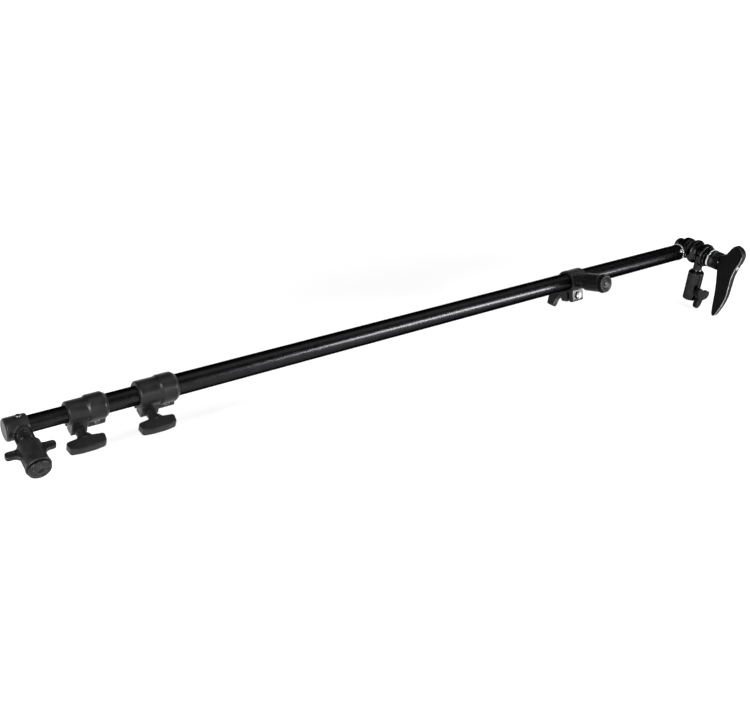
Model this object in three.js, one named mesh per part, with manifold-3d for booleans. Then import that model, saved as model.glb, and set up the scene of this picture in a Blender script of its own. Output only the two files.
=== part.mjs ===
// Telescopic reflector holder arm with a tilting stand socket, two collars and two spring clips.
// Millimetres, +Z up. The origin is the centre of the stand socket's mouth.
// The arm lies along X: its tilting head is at X = 0 and its far end points to -X.

import * as THREE from 'three';
import { mergeVertices } from 'three/addons/utils/BufferGeometryUtils.js';
import Module from 'manifold-3d';

const wasm = await Module();
wasm.setup();

// Clearances
const GAP = 0.3;
const OVERRUN = 2;
const MERGE_DISTANCE = 0.0001;

// Numbers of sides
const TUBE_SIDES = 28;
const BODY_SIDES = 24;
const SMALL_SIDES = 12;
const HEX_SIDES = 6;
const NOTCH_SIDES = 8;
const CURVE_STEPS = 4;

// Tubes, from the outermost in
const MAIN_TUBE_RADIUS = 12.7;
const MIDDLE_TUBE_PLAY = 0.4;
const INNER_TUBE_PLAY = 0.375;
const TUBE_WALL = 1.2;
const MAIN_TUBE_LENGTH = 918;
const MIDDLE_END_SETBACK = 76.8;
const INNER_END_SETBACK = 39.4;
const MIDDLE_SHOWN = 35.4;
const INNER_SHOWN = 41.2;
const TUBE_SETBACK = 31;
const GLIDE_HEAD = 6;
const GLIDE_STEM = 16;

// Stand socket
const BARREL_RADIUS = 12.3;
const BARREL_HEIGHT = 50;
const BARREL_SHOULDER = 3;
const BARREL_EDGE = 1;
const SOCKET_BORE_RADIUS = 8.1;
const SOCKET_BORE_DEPTH = 40;
const SOCKET_NECK_RADIUS = 7;
const STACK_HEIGHT = 79.5;
const ARM_OFFSET = 22;
const SOCKET_SCREW_HEIGHT = 9.5;
const SOCKET_SCREW_RADIUS = 3;

// Three-lobed knob of the stand socket
const LOBE_RADIUS = 19.8;
const LOBE_WAIST_RADIUS = 8.5;
const LOBE_KNOB_WIDTH = 6.5;
const LOBE_KNOB_EDGE = 1.2;
const LOBE_KNOB_STANDOFF = 0.9;
const LOBE_HUB_RADIUS = 6;
const LOBE_HUB_WIDTH = 1.2;
const LOBE_COUNT = 3;
const LOBE_POINTS = 33;
const LOBE_START_DEG = 8;
const LOBE_FULLNESS = 0.85;

// Head stack, measured along its axis from the arm's middle towards the lever
const HEAD_BOLT_RADIUS = 4;
const HEAD_BOLT_HEAD_RADIUS = 7;
const HEAD_BOLT_HEAD_WIDTH = 4;
const FAR_NUT_RADIUS = 11.6;
const FAR_NUT_WIDTH = 8.6;
const FAR_NUT_EDGE = 4;
const FAR_WASHER_RADIUS = 9.6;
const FAR_WASHER_WIDTH = 4;
const KNUCKLE_RADIUS = 17;
const KNUCKLE_BACK = 13;
const KNUCKLE_FRONT = 1.6;
const KNUCKLE_EDGE = 2.6;
const KNUCKLE_NECK_RADIUS = 10.6;
const PLUG_LENGTH = 28;
const BRIGHT_RING_RADIUS = 14.6;
const BRIGHT_RING_WIDTH = 2.4;
const FRICTION_DISC_RADIUS = 16.6;
const FRICTION_DISC_WIDTH = 1.4;
const DRUM_BACK_RADIUS = 19.4;
const DRUM_BACK_WIDTH = 12.5;
const DRUM_WAIST_RADIUS = 14.6;
const DRUM_WAIST_WIDTH = 4.5;
const DRUM_FRONT_RADIUS = 18.6;
const DRUM_FRONT_WIDTH = 11;
const DRUM_EDGE = 3.2;
const PRESSURE_RING_RADIUS = 16;
const PRESSURE_RING_WIDTH = 3.6;
const THRUST_COLLAR_RADIUS = 11.5;
const THRUST_COLLAR_WIDTH = 3.4;
const STEEL_WASHER_RADIUS = 15.6;
const STEEL_WASHER_WIDTH = 4.6;
const STEEL_WASHER_EDGE = 0.9;

// Clamp lever: a turned hub and a two-shell wing with a long and a short lobe
const LEVER_HUB_RADIUS = 14.3;
const LEVER_HUB_WIDTH = 12;
const LEVER_HUB_EDGE = 1.4;
const LEVER_REACH = 37.5;
const LEVER_RISE = 36.5;
const LEVER_DROP = 90;
const LEVER_THICKNESS = 11;
const LEVER_EDGE = 1.6;
const LEVER_SCREW_RADIUS = 2;
const LEVER_SCREW_HEAD_RADIUS = 3.6;
const LEVER_SCREW_HEAD_WIDTH = 3;
const LEVER_SCREW_SETBACK = 5.5;
const LEVER_SCREW_LENGTH = 20;
const LEVER_TIP_THICKNESS_SHARE = 0.62;
const LEVER_TOP_THICKNESS_SHARE = 0.93;

// Points of the wing's outline: shares of its reach, and of its rise above or drop below the axis
const LEVER_TOP_SHARES = [[0.13, 0.385], [0.33, 0.63], [0.46, 0.86], [0.60, 0.97], [0.80, 0.91]];
const LEVER_CREST_SHARES = [[0.95, 0.77], [1.0, 0.58], [0.95, 0.30], [0.85, 0.02]];
const LEVER_OUTER_SHARES = [
  [0.76, -0.19], [0.75, -0.37], [0.73, -0.56], [0.63, -0.75], [0.51, -0.89], [0.42, -0.97],
];
const LEVER_INNER_SHARES = [[0.31, -1.0], [0.225, -0.95], [0.185, -0.80], [0.14, -0.52], [0.065, -0.29]];

// End ring and rivet of the main tube
const END_RING_OVERHANG = 0.8;
const END_RING_WIDTH = 3;
const END_RING_SETBACK = 3.5;
const RIVET_RADIUS = 3;
const RIVET_HEAD_HEIGHT = 1.2;
const RIVET_SETBACK = 7;
const RIVET_SHANK_RADIUS = 1.6;
const RIVET_SHANK_LENGTH = 4;
const RIVET_ANGLE_DEG = 35;

// Split collars: a clamp part round the smaller tube and a sleeve part on the larger one
const LINER_WALL = 1.2;
const LINER_SLIT = 2;
const LARGE_CLAMP_WALL = 3.3;
const LARGE_SLEEVE_WALL = 4.3;
const LARGE_CLAMP_LENGTH = 24.9;
const LARGE_SLEEVE_LENGTH = 22.9;
const SMALL_CLAMP_WALL = 2.4;
const SMALL_SLEEVE_WALL = 4;
const SMALL_CLAMP_LENGTH = 21.8;
const SMALL_SLEEVE_LENGTH = 23.5;
const COLLAR_STOP = 1.6;
const COLLAR_END_EDGE = 1.6;
const COLLAR_CHAMFER = 3.2;
const COLLAR_STEP_EDGE = 0.8;
const EAR_MARGIN = 2.2;
const EAR_SPACING = 3.4;
const EAR_BEYOND_BOLT = 7;
const EAR_FRONT = 14.5;
const EAR_BACK = 9;
const FIXED_EAR_FRONT = 9;
const FIXED_EAR_BACK = 7;
const EAR_CORNER = 3;
const CLAMP_SLIT = 3;
const RELIEF_SLIT = 1.6;
const BOLT_INSET = 0.8;
const COLLAR_ANGLE_DEG = -16;

// Clamp bolts, their nuts and the collars' fixing screws
const BOLT_RADIUS = 3;
const NUT_RADIUS = 5.6;
const NUT_WIDTH = 4.4;
const NUT_SINK = 2;
const BOLT_BEYOND_NUT = 1.2;
const FIXING_RADIUS = 2;
const FIXING_HEAD_RADIUS = 3.7;
const FIXING_HEAD_WIDTH = 2.4;
const FIXING_LENGTH = 11;

// T-shaped clamp knobs
const KNOB_HALF_LENGTH = 20.2;
const KNOB_BAR_HEIGHT = 15.6;
const KNOB_BAR_THICKNESS = 10;
const KNOB_EDGE = 1.6;
const KNOB_SHANK_RADIUS = 6.2;
const KNOB_SHANK_TOP_RADIUS = 5.6;
const KNOB_SHANK_LENGTH = 14;
const KNOB_FOOT_GAP = 0.5;
const KNOB_BOLT_DEPTH = 18;

// Points of half the bar's outline: shares of its half length and of its height
const KNOB_OUTLINE_SHARES = [
  [0.30, 0.0], [0.93, 0.16], [1.0, 0.28], [0.93, 0.80], [0.84, 0.88], [0.42, 0.98],
];

// Spring clips: a ribbed post, a winged sleeve, a spring and an end cap
const CLIP_NECK_RADIUS = 10.3;
const CLIP_CORE_RADIUS = 6.2;
const CLIP_NECK_END = 25;
const CLIP_POCKET_START = 13;
const CLIP_POCKET_WIDTH = 7;
const CLIP_POCKET_COUNT = 6;
const CLIP_STEM_RADIUS = 4.4;
const SLEEVE_START = 27;
const SLEEVE_END = 60;
const SLEEVE_FOOT_RADIUS = 12.7;
const SLEEVE_RADIUS = 13;
const SLEEVE_RIM_RADIUS = 13.8;
const SLEEVE_RIM_WIDTH = 3;
const SLEEVE_BORE_RADIUS = 11.3;
const SLEEVE_FLANGE_START = 50;
const SLEEVE_FLANGE_WIDTH = 4;
const SLEEVE_EDGE = 1;
const SLEEVE_TRAVEL = 10;
const WING_HALF_SPAN = 26.5;
const WING_TAB_RISE = 3.8;
const WING_TAB_HEIGHT = 9;
const WING_ROOT_HEIGHT = 18;
const WING_ROOT_HALF_SPAN = 11;
const WING_WAIST_HALF_SPAN = 16.5;
const WING_THICKNESS = 5.4;
const WING_EDGE = 1;
const CAP_GAP = 1.3;
const CAP_WIDTH = 3;
const CAP_RADIUS = 12.5;
const CAP_BOSS_RADIUS = 9.2;
const CAP_EDGE = 1.1;
const CAP_NOTCH_RADIUS = 2.4;
const CAP_NOTCH_INSET = 1.5;
const CAP_LOBE_COUNT = 5;
const CAP_SCREW_RADIUS = 1.6;
const CAP_SCREW_HEAD_RADIUS = 2.8;
const CAP_SCREW_HEAD_WIDTH = 1.6;
const CAP_SCREW_LENGTH = 14;
const SPRING_WIRE_RADIUS = 0.7;
const SPRING_RADIUS = 8.2;
const SPRING_TURNS = 4;
const SPRING_STEPS_PER_TURN = 8;
const SPRING_WIRE_SIDES = 4;

// End hub on the innermost tube
const HUB_WALL = 3;
const HUB_LENGTH = 24.7;
const HUB_END_WALL = 3;
const HUB_EDGE = 1.2;
const HUB_PEG_SETBACK = 8.8;
const HUB_PEG_ANGLE_DEG = -16;
const HUB_SCREW_ANGLE_DEG = 90;
const HUB_SCREW_SETBACK = 8.6;
const HUB_SCREW_RADIUS = 1.7;
const HUB_SCREW_HEAD_RADIUS = 3.2;
const HUB_SCREW_HEAD_WIDTH = 1.6;
const HUB_SCREW_LENGTH = 3;

// Clip that slides on the main tube
const SLIDER_PLACE = 275.9;
const SLIDER_LENGTH = 30;
const SLIDER_LINER_WALL = 0.9;
const SLIDER_WALL = 1.8;
const SLIDER_EDGE = 1;
const SLIDER_SLIT = 5;
const SLIDER_BOLT_INSET = 5.3;
const SLIDER_EAR_BEYOND_BOLT = 6.9;
const SLIDER_EAR_HALF_WIDTH = 11;
const SLIDER_PEG_ANGLE_DEG = 17;
const SLIDER_BOLT_ANGLE_DEG = 197;
const SLIDER_KNOB_TURN_DEG = 122;

// Places worked out from the sizes above, along the arm from the head's axis
const MAIN_TUBE_END = -TUBE_SETBACK;
const LARGE_STEP = MAIN_TUBE_END - MAIN_TUBE_LENGTH;
const SMALL_STEP = LARGE_STEP - LARGE_CLAMP_LENGTH - MIDDLE_SHOWN - SMALL_SLEEVE_LENGTH;
const HUB_INNER_END = SMALL_STEP - SMALL_CLAMP_LENGTH - INNER_SHOWN;
const HUB_OUTER_END = HUB_INNER_END - HUB_LENGTH;
const INNER_TUBE_START = HUB_OUTER_END + HUB_END_WALL + GAP;
const MAIN_TUBE_BORE = MAIN_TUBE_RADIUS - TUBE_WALL;
const MIDDLE_TUBE_RADIUS = MAIN_TUBE_BORE - MIDDLE_TUBE_PLAY;
const MIDDLE_TUBE_BORE = MIDDLE_TUBE_RADIUS - TUBE_WALL;
const INNER_TUBE_RADIUS = MIDDLE_TUBE_BORE - INNER_TUBE_PLAY;
const INNER_TUBE_BORE = INNER_TUBE_RADIUS - TUBE_WALL;
const HUB_RADIUS = INNER_TUBE_RADIUS + GAP + HUB_WALL;

// Places worked out along a spring clip's post, from the arm's axis
const CAP_START = SLEEVE_END + CAP_GAP;
const CAP_END = CAP_START + CAP_WIDTH;
const CAP_BOSS_START = SLEEVE_FLANGE_START + SLEEVE_FLANGE_WIDTH + GAP;

// Places worked out along the head's stack, from the arm's middle
const BRIGHT_RING_START = KNUCKLE_FRONT + GAP;
const FRICTION_DISC_START = BRIGHT_RING_START + BRIGHT_RING_WIDTH + GAP;
const DRUM_START = FRICTION_DISC_START + FRICTION_DISC_WIDTH + GAP;
const DRUM_WAIST_START = DRUM_START + DRUM_BACK_WIDTH;
const DRUM_FRONT_START = DRUM_WAIST_START + DRUM_WAIST_WIDTH;
const DRUM_END = DRUM_FRONT_START + DRUM_FRONT_WIDTH;
const PRESSURE_RING_START = DRUM_END + GAP;
const THRUST_COLLAR_START = PRESSURE_RING_START + PRESSURE_RING_WIDTH + GAP;
const STEEL_WASHER_START = THRUST_COLLAR_START + THRUST_COLLAR_WIDTH + GAP;
const LEVER_HUB_START = STEEL_WASHER_START + STEEL_WASHER_WIDTH + GAP;
const LEVER_START = LEVER_HUB_START + LEVER_HUB_WIDTH + GAP;
const FAR_WASHER_START = -KNUCKLE_BACK - GAP - FAR_WASHER_WIDTH;
const FAR_NUT_START = FAR_WASHER_START - GAP - FAR_NUT_WIDTH;

const AXIS_X = new THREE.Vector3(1, 0, 0);
const AXIS_Y = new THREE.Vector3(0, 1, 0);
const AXIS_Z = new THREE.Vector3(0, 0, 1);
const TOWARDS_LEVER = new THREE.Vector3(0, -1, 0);
const ARM_ORIGIN = new THREE.Vector3(0, ARM_OFFSET, STACK_HEIGHT);

const FINISHES = {
  blackTube: { color: 0x101012, roughness: 0.28, metalness: 0.5 },
  blackPlastic: { color: 0x1b1b1d, roughness: 0.6, metalness: 0 },
  leverPlastic: { color: 0x141415, roughness: 0.75, metalness: 0 },
  darkMetal: { color: 0x2a2b2e, roughness: 0.35, metalness: 0.9 },
  steel: { color: 0xc8cacd, roughness: 0.25, metalness: 1 },
  liner: { color: 0x303033, roughness: 0.5, metalness: 0 },
};

/** A closed solid from a three.js geometry, with its faces pointing out. */
function toSolid(geometry) {
  geometry.deleteAttribute('normal');
  geometry.deleteAttribute('uv');
  const merged = mergeVertices(geometry, MERGE_DISTANCE);
  const places = merged.getAttribute('position').array;
  const corners = merged.getIndex().array;
  const at = (i) => new THREE.Vector3().fromArray(places, 3 * i);
  const kept = [];
  let volume = 0;
  for (let i = 0; i < corners.length; i += 3) {
    const [a, b, c] = [corners[i], corners[i + 1], corners[i + 2]];
    if (a === b || b === c || c === a) continue;
    kept.push([a, b, c]);
    volume += at(a).dot(at(b).cross(at(c)));
  }
  const triangles = volume < 0 ? kept.map(([a, b, c]) => [a, c, b]) : kept;
  return new wasm.Manifold(new wasm.Mesh({
    numProp: 3,
    vertProperties: Float32Array.from(places),
    triVerts: Uint32Array.from(triangles.flat()),
  }));
}

/** A named mesh of a solid, with a material of its own. */
function piece(name, solid, finish) {
  const mesh = solid.getMesh();
  const geometry = new THREE.BufferGeometry();
  geometry.setAttribute('position', new THREE.BufferAttribute(Float32Array.from(mesh.vertProperties), 3));
  geometry.setIndex(Array.from(mesh.triVerts));
  geometry.computeVertexNormals();
  const part = new THREE.Mesh(geometry, new THREE.MeshStandardMaterial(FINISHES[finish]));
  part.name = name;
  return part;
}

/** The matrix of a frame with the given origin, Z axis and X axis. */
function frame(origin, zAxis, xAxis) {
  const yAxis = new THREE.Vector3().crossVectors(zAxis, xAxis);
  return new THREE.Matrix4().makeBasis(xAxis, yAxis, zAxis).setPosition(origin);
}

/** A turned geometry about Z: profile points are [radius, height]. */
function turned(profile, sides) {
  const points = profile.map(([r, h]) => new THREE.Vector2(r, h));
  return new THREE.LatheGeometry(points, sides).rotateX(Math.PI / 2);
}

/** The closed profile of a ring with bevelled outer edges, or of a disc where inner is zero. */
function ringProfile(inner, outer, low, high, lowEdge, highEdge = lowEdge) {
  const side = [
    [outer - lowEdge, low], [outer, low + lowEdge], [outer, high - highEdge], [outer - highEdge, high],
  ];
  const profile = [[inner, low], ...side, [inner, high]];
  return inner > 0 ? [...profile, [inner, low]] : profile;
}

/** A turned solid about Z. */
function turnedSolid(profile, sides = BODY_SIDES) {
  return toSolid(turned(profile, sides));
}

/** A turned solid whose axis and start are set by a frame matrix. */
function turnedSolidIn(matrix, profile, sides = BODY_SIDES) {
  return toSolid(turned(profile, sides).applyMatrix4(matrix));
}

/** A plain round rod or cutter about Z. */
function rod(radius, low, high, sides = SMALL_SIDES) {
  return turned([[0, low], [radius, low], [radius, high], [0, high]], sides);
}

/** A plain round solid about Z. */
function rodSolid(radius, low, high, sides = SMALL_SIDES) {
  return toSolid(rod(radius, low, high, sides));
}

/** A plain round solid about the Z axis of a frame matrix. */
function rodIn(matrix, radius, low, high, sides = SMALL_SIDES) {
  return toSolid(rod(radius, low, high, sides).applyMatrix4(matrix));
}

/** A box given by its lowest and highest corners. */
function block(x0, x1, y0, y1, z0, z1) {
  const box = new THREE.BoxGeometry(x1 - x0, y1 - y0, z1 - z0);
  return box.translate((x0 + x1) / 2, (y0 + y1) / 2, (z0 + z1) / 2);
}

/** A box as a solid. */
function blockSolid(x0, x1, y0, y1, z0, z1) {
  return toSolid(block(x0, x1, y0, y1, z0, z1));
}

/** The direction square to the arm, at an angle above the lever's side. */
function outward(degrees) {
  const angle = THREE.MathUtils.degToRad(degrees);
  return new THREE.Vector3(0, -Math.cos(angle), Math.sin(angle));
}

/** A group whose place and turn are those of a frame matrix. */
function groupIn(matrix, parent) {
  const group = new THREE.Group();
  group.applyMatrix4(matrix);
  parent.add(group);
  return group;
}

/** A plate from an outline in X and Y, with bevelled edges, between two heights. */
function plate(shape, low, high, edge, steps = CURVE_STEPS) {
  const geometry = new THREE.ExtrudeGeometry(shape, {
    depth: high - low - 2 * edge,
    curveSegments: steps,
    bevelEnabled: edge > 0,
    bevelThickness: edge,
    bevelSize: edge,
    bevelOffset: -edge,
    bevelSegments: 1,
  });
  return geometry.translate(0, 0, low + edge);
}

/** Stand socket: a bored barrel, a neck and the drum that the lever clamps. */
function standSocket() {
  const stack = frame(ARM_ORIGIN, TOWARDS_LEVER, AXIS_X);
  const barrel = turnedSolid([
    [0, 0], [BARREL_RADIUS - BARREL_EDGE, 0], [BARREL_RADIUS, BARREL_EDGE],
    [BARREL_RADIUS, BARREL_HEIGHT - BARREL_SHOULDER], [BARREL_RADIUS - BARREL_SHOULDER, BARREL_HEIGHT],
    [0, BARREL_HEIGHT],
  ]);
  const neckTop = STACK_HEIGHT - DRUM_WAIST_RADIUS / 2;
  const neck = rodSolid(SOCKET_NECK_RADIUS, BARREL_HEIGHT - BARREL_SHOULDER, neckTop);
  const drum = turnedSolidIn(stack, [
    [0, DRUM_START], [DRUM_BACK_RADIUS - DRUM_EDGE, DRUM_START],
    [DRUM_BACK_RADIUS, DRUM_START + DRUM_EDGE], [DRUM_BACK_RADIUS, DRUM_WAIST_START - DRUM_EDGE],
    [DRUM_WAIST_RADIUS, DRUM_WAIST_START], [DRUM_WAIST_RADIUS, DRUM_FRONT_START],
    [DRUM_FRONT_RADIUS, DRUM_FRONT_START + DRUM_EDGE], [DRUM_FRONT_RADIUS, DRUM_END - DRUM_EDGE / 2],
    [DRUM_FRONT_RADIUS - DRUM_EDGE / 2, DRUM_END], [0, DRUM_END],
  ]);
  const bore = rodSolid(SOCKET_BORE_RADIUS, -OVERRUN, SOCKET_BORE_DEPTH, BODY_SIDES);
  const boltHole = rodIn(stack, HEAD_BOLT_RADIUS + GAP, DRUM_START - OVERRUN, DRUM_END + OVERRUN);
  const screwFrame = frame(new THREE.Vector3(0, 0, SOCKET_SCREW_HEIGHT), TOWARDS_LEVER, AXIS_X);
  const screwHole = rodIn(screwFrame, SOCKET_SCREW_RADIUS + GAP, 0, BARREL_RADIUS + OVERRUN);
  const body = barrel.add(neck).add(drum).subtract(bore).subtract(boltHole).subtract(screwHole);
  return piece('stand_socket', body, 'darkMetal');
}

/** Outline of the three-lobed knob, by a formula in the angle. */
function lobedShape() {
  const points = [];
  for (let i = 0; i < LOBE_POINTS; i += 1) {
    const angle = 2 * Math.PI * i / LOBE_POINTS;
    const swell = ((1 + Math.cos(LOBE_COUNT * angle)) / 2) ** LOBE_FULLNESS;
    const radius = LOBE_WAIST_RADIUS + (LOBE_RADIUS - LOBE_WAIST_RADIUS) * swell;
    const turn = angle + THREE.MathUtils.degToRad(LOBE_START_DEG);
    points.push(new THREE.Vector2(radius * Math.cos(turn), radius * Math.sin(turn)));
  }
  return new THREE.Shape(points);
}

/** Knob and screw that hold the stand's stud in the socket. */
function addSocketKnob(parent) {
  const group = groupIn(frame(new THREE.Vector3(0, 0, SOCKET_SCREW_HEIGHT), TOWARDS_LEVER, AXIS_X), parent);
  const foot = BARREL_RADIUS + LOBE_KNOB_STANDOFF;
  const low = foot + LOBE_HUB_WIDTH;
  const high = low + LOBE_KNOB_WIDTH;
  const lobes = toSolid(plate(lobedShape(), low, high, LOBE_KNOB_EDGE));
  const hub = rodSolid(LOBE_HUB_RADIUS, foot, low + LOBE_KNOB_EDGE);
  const hole = rodSolid(SOCKET_SCREW_RADIUS + GAP, foot - OVERRUN, high - LOBE_HUB_WIDTH);
  group.add(piece('socket_knob', lobes.add(hub).subtract(hole), 'blackPlastic'));
  const screw = rodSolid(SOCKET_SCREW_RADIUS, SOCKET_BORE_RADIUS, high - LOBE_HUB_WIDTH - GAP);
  group.add(piece('socket_screw', screw, 'steel'));
}

/** Discs, rings, nut and bolt of the head, outside the socket and the lever. */
function addHeadStack(parent) {
  const group = groupIn(frame(ARM_ORIGIN, TOWARDS_LEVER, AXIS_X), parent);
  const hole = HEAD_BOLT_RADIUS + GAP;
  const ring = (name, finish, radius, start, width, edge = STEEL_WASHER_EDGE) => {
    group.add(piece(name, turnedSolid(ringProfile(hole, radius, start, start + width, edge)), finish));
  };
  ring('far_washer', 'darkMetal', FAR_WASHER_RADIUS, FAR_WASHER_START, FAR_WASHER_WIDTH, 0);
  ring('bright_ring', 'steel', BRIGHT_RING_RADIUS, BRIGHT_RING_START, BRIGHT_RING_WIDTH);
  ring('friction_disc', 'liner', FRICTION_DISC_RADIUS, FRICTION_DISC_START, FRICTION_DISC_WIDTH, 0);
  ring('pressure_ring', 'darkMetal', PRESSURE_RING_RADIUS, PRESSURE_RING_START, PRESSURE_RING_WIDTH, 0);
  ring('thrust_collar', 'darkMetal', THRUST_COLLAR_RADIUS, THRUST_COLLAR_START, THRUST_COLLAR_WIDTH, 0);
  ring('steel_washer', 'steel', STEEL_WASHER_RADIUS, STEEL_WASHER_START, STEEL_WASHER_WIDTH);

  const nutEnd = FAR_NUT_START + FAR_NUT_WIDTH;
  const dome = turnedSolid([
    [0, FAR_NUT_START], [FAR_NUT_RADIUS - FAR_NUT_EDGE, FAR_NUT_START],
    [FAR_NUT_RADIUS - FAR_NUT_EDGE / 3, FAR_NUT_START + FAR_NUT_EDGE / 3],
    [FAR_NUT_RADIUS, FAR_NUT_START + FAR_NUT_EDGE],
    [FAR_NUT_RADIUS, nutEnd - STEEL_WASHER_EDGE], [FAR_NUT_RADIUS - STEEL_WASHER_EDGE, nutEnd], [0, nutEnd],
  ]);
  const blind = rodSolid(hole, FAR_NUT_START + FAR_NUT_EDGE - GAP, nutEnd + OVERRUN);
  group.add(piece('far_nut', dome.subtract(blind), 'darkMetal'));

  const headStart = LEVER_HUB_START + LEVER_HUB_WIDTH - HEAD_BOLT_HEAD_WIDTH;
  const shank = rodSolid(HEAD_BOLT_RADIUS, FAR_NUT_START + FAR_NUT_EDGE, headStart);
  const headHex = rod(HEAD_BOLT_HEAD_RADIUS, headStart, headStart + HEAD_BOLT_HEAD_WIDTH - GAP, HEX_SIDES);
  group.add(piece('clamp_bolt', shank.add(toSolid(headHex)), 'steel'));
}

/** Outline of the lever's wing in the plane through the stack's axis. */
function leverShape() {
  const scaled = ([reach, height]) => {
    const across = height < 0 ? height * LEVER_DROP : height * LEVER_RISE;
    return new THREE.Vector2(LEVER_START + reach * LEVER_REACH, across);
  };
  const upper = [...LEVER_TOP_SHARES, ...LEVER_CREST_SHARES].map(scaled);
  const lower = [...LEVER_OUTER_SHARES, ...LEVER_INNER_SHARES].map(scaled);
  const edge = LEVER_HUB_RADIUS - LEVER_HUB_EDGE;
  const low = new THREE.Vector2(LEVER_START, -edge);
  const shape = new THREE.Shape();
  shape.moveTo(low.x, low.y);
  shape.lineTo(LEVER_START, edge);
  shape.splineThru([...upper, ...lower, low]);
  return shape;
}

/** Clamp lever: hub, two half shells and the screw that joins them to the hub. */
function addLever(parent) {
  const group = groupIn(frame(ARM_ORIGIN, TOWARDS_LEVER, AXIS_X), parent);
  const hubEnd = LEVER_HUB_START + LEVER_HUB_WIDTH;
  const headSeat = hubEnd - HEAD_BOLT_HEAD_WIDTH - GAP;
  const hub = turnedSolid(ringProfile(
    HEAD_BOLT_RADIUS + GAP, LEVER_HUB_RADIUS, LEVER_HUB_START, hubEnd, LEVER_HUB_EDGE));
  const pocket = rodSolid(HEAD_BOLT_HEAD_RADIUS + GAP, headSeat, hubEnd + OVERRUN);
  group.add(piece('lever_hub', hub.subtract(pocket), 'leverPlastic'));

  const half = LEVER_THICKNESS / 2;
  const wing = plate(leverShape(), -half, half, LEVER_EDGE, 2);
  const corners = wing.getAttribute('position');
  for (let i = 0; i < corners.count; i += 1) {
    const height = corners.getY(i);
    const share = height < 0 ? -height / LEVER_DROP : height / LEVER_RISE;
    const thinnest = height < 0 ? LEVER_TIP_THICKNESS_SHARE : LEVER_TOP_THICKNESS_SHARE;
    corners.setZ(i, corners.getZ(i) * THREE.MathUtils.lerp(1, thinnest, Math.min(share, 1)));
  }
  // The outline's X is the stack's axis and its Y is up, so the plate's thickness lies along the arm.
  const turn = new THREE.Matrix4().makeBasis(AXIS_Z, AXIS_Y, AXIS_X.clone().negate());
  const whole = toSolid(wing.applyMatrix4(turn));
  const edge = LEVER_START + LEVER_REACH;
  const headStart = edge - LEVER_SCREW_SETBACK - LEVER_SCREW_HEAD_WIDTH;
  const channel = rodSolid(LEVER_SCREW_RADIUS + GAP, LEVER_START - OVERRUN, edge);
  const counterbore = rodSolid(LEVER_SCREW_HEAD_RADIUS + GAP, headStart - GAP, edge + OVERRUN);
  const drilled = whole.subtract(channel).subtract(counterbore);
  const reach = LEVER_DROP + LEVER_RISE;
  const end = edge + OVERRUN;
  const frontSide = blockSolid(-LEVER_THICKNESS, -GAP / 2, -reach, reach, LEVER_START - OVERRUN, end);
  const rearSide = blockSolid(GAP / 2, LEVER_THICKNESS, -reach, reach, LEVER_START - OVERRUN, end);
  group.add(piece('lever_front_shell', drilled.intersect(frontSide), 'leverPlastic'));
  group.add(piece('lever_rear_shell', drilled.intersect(rearSide), 'leverPlastic'));

  const shank = rodSolid(LEVER_SCREW_RADIUS, headStart - LEVER_SCREW_LENGTH, headStart);
  const screwHead = rodSolid(LEVER_SCREW_HEAD_RADIUS, headStart, headStart + LEVER_SCREW_HEAD_WIDTH);
  group.add(piece('lever_screw', shank.add(screwHead), 'steel'));
}

/** Knuckle: the eye that the lever clamps, its neck and the plug in the main tube. */
function addKnuckle(arm) {
  const stack = frame(new THREE.Vector3(), TOWARDS_LEVER, AXIS_X);
  const along = frame(new THREE.Vector3(), AXIS_X, AXIS_Z);
  const plugEnd = MAIN_TUBE_END - PLUG_LENGTH;
  const plugRadius = MAIN_TUBE_BORE - GAP;
  const eyeProfile = ringProfile(0, KNUCKLE_RADIUS, -KNUCKLE_BACK, KNUCKLE_FRONT, KNUCKLE_EDGE);
  const eye = turnedSolidIn(stack, eyeProfile);
  const neck = turnedSolidIn(along, ringProfile(0, KNUCKLE_NECK_RADIUS, plugEnd + OVERRUN, 0, 0));
  const plug = turnedSolidIn(along, ringProfile(0, plugRadius, plugEnd, MAIN_TUBE_END - GAP, 0));
  const front = -KNUCKLE_FRONT;
  const clear = blockSolid(
    -KNUCKLE_RADIUS - 2 * DRUM_EDGE, KNUCKLE_RADIUS, -MAIN_TUBE_RADIUS - OVERRUN, front,
    -KNUCKLE_RADIUS, KNUCKLE_RADIUS);
  const hole = rodIn(stack, HEAD_BOLT_RADIUS + GAP, -KNUCKLE_BACK - OVERRUN, KNUCKLE_FRONT + OVERRUN);
  const rivetLow = MAIN_TUBE_RADIUS - RIVET_SHANK_LENGTH - GAP;
  const rivetSeat = rodIn(rivetFrame(), RIVET_SHANK_RADIUS + GAP, rivetLow, MAIN_TUBE_RADIUS);
  const body = eye.add(neck.subtract(clear)).add(plug).subtract(hole).subtract(rivetSeat);
  arm.add(piece('arm_knuckle', body, 'darkMetal'));
}

/** The frame of the rivet that holds the knuckle's plug: its Z axis points out of the tube. */
function rivetFrame() {
  return frame(new THREE.Vector3(MAIN_TUBE_END - RIVET_SETBACK, 0, 0), outward(RIVET_ANGLE_DEG), AXIS_X);
}

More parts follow.
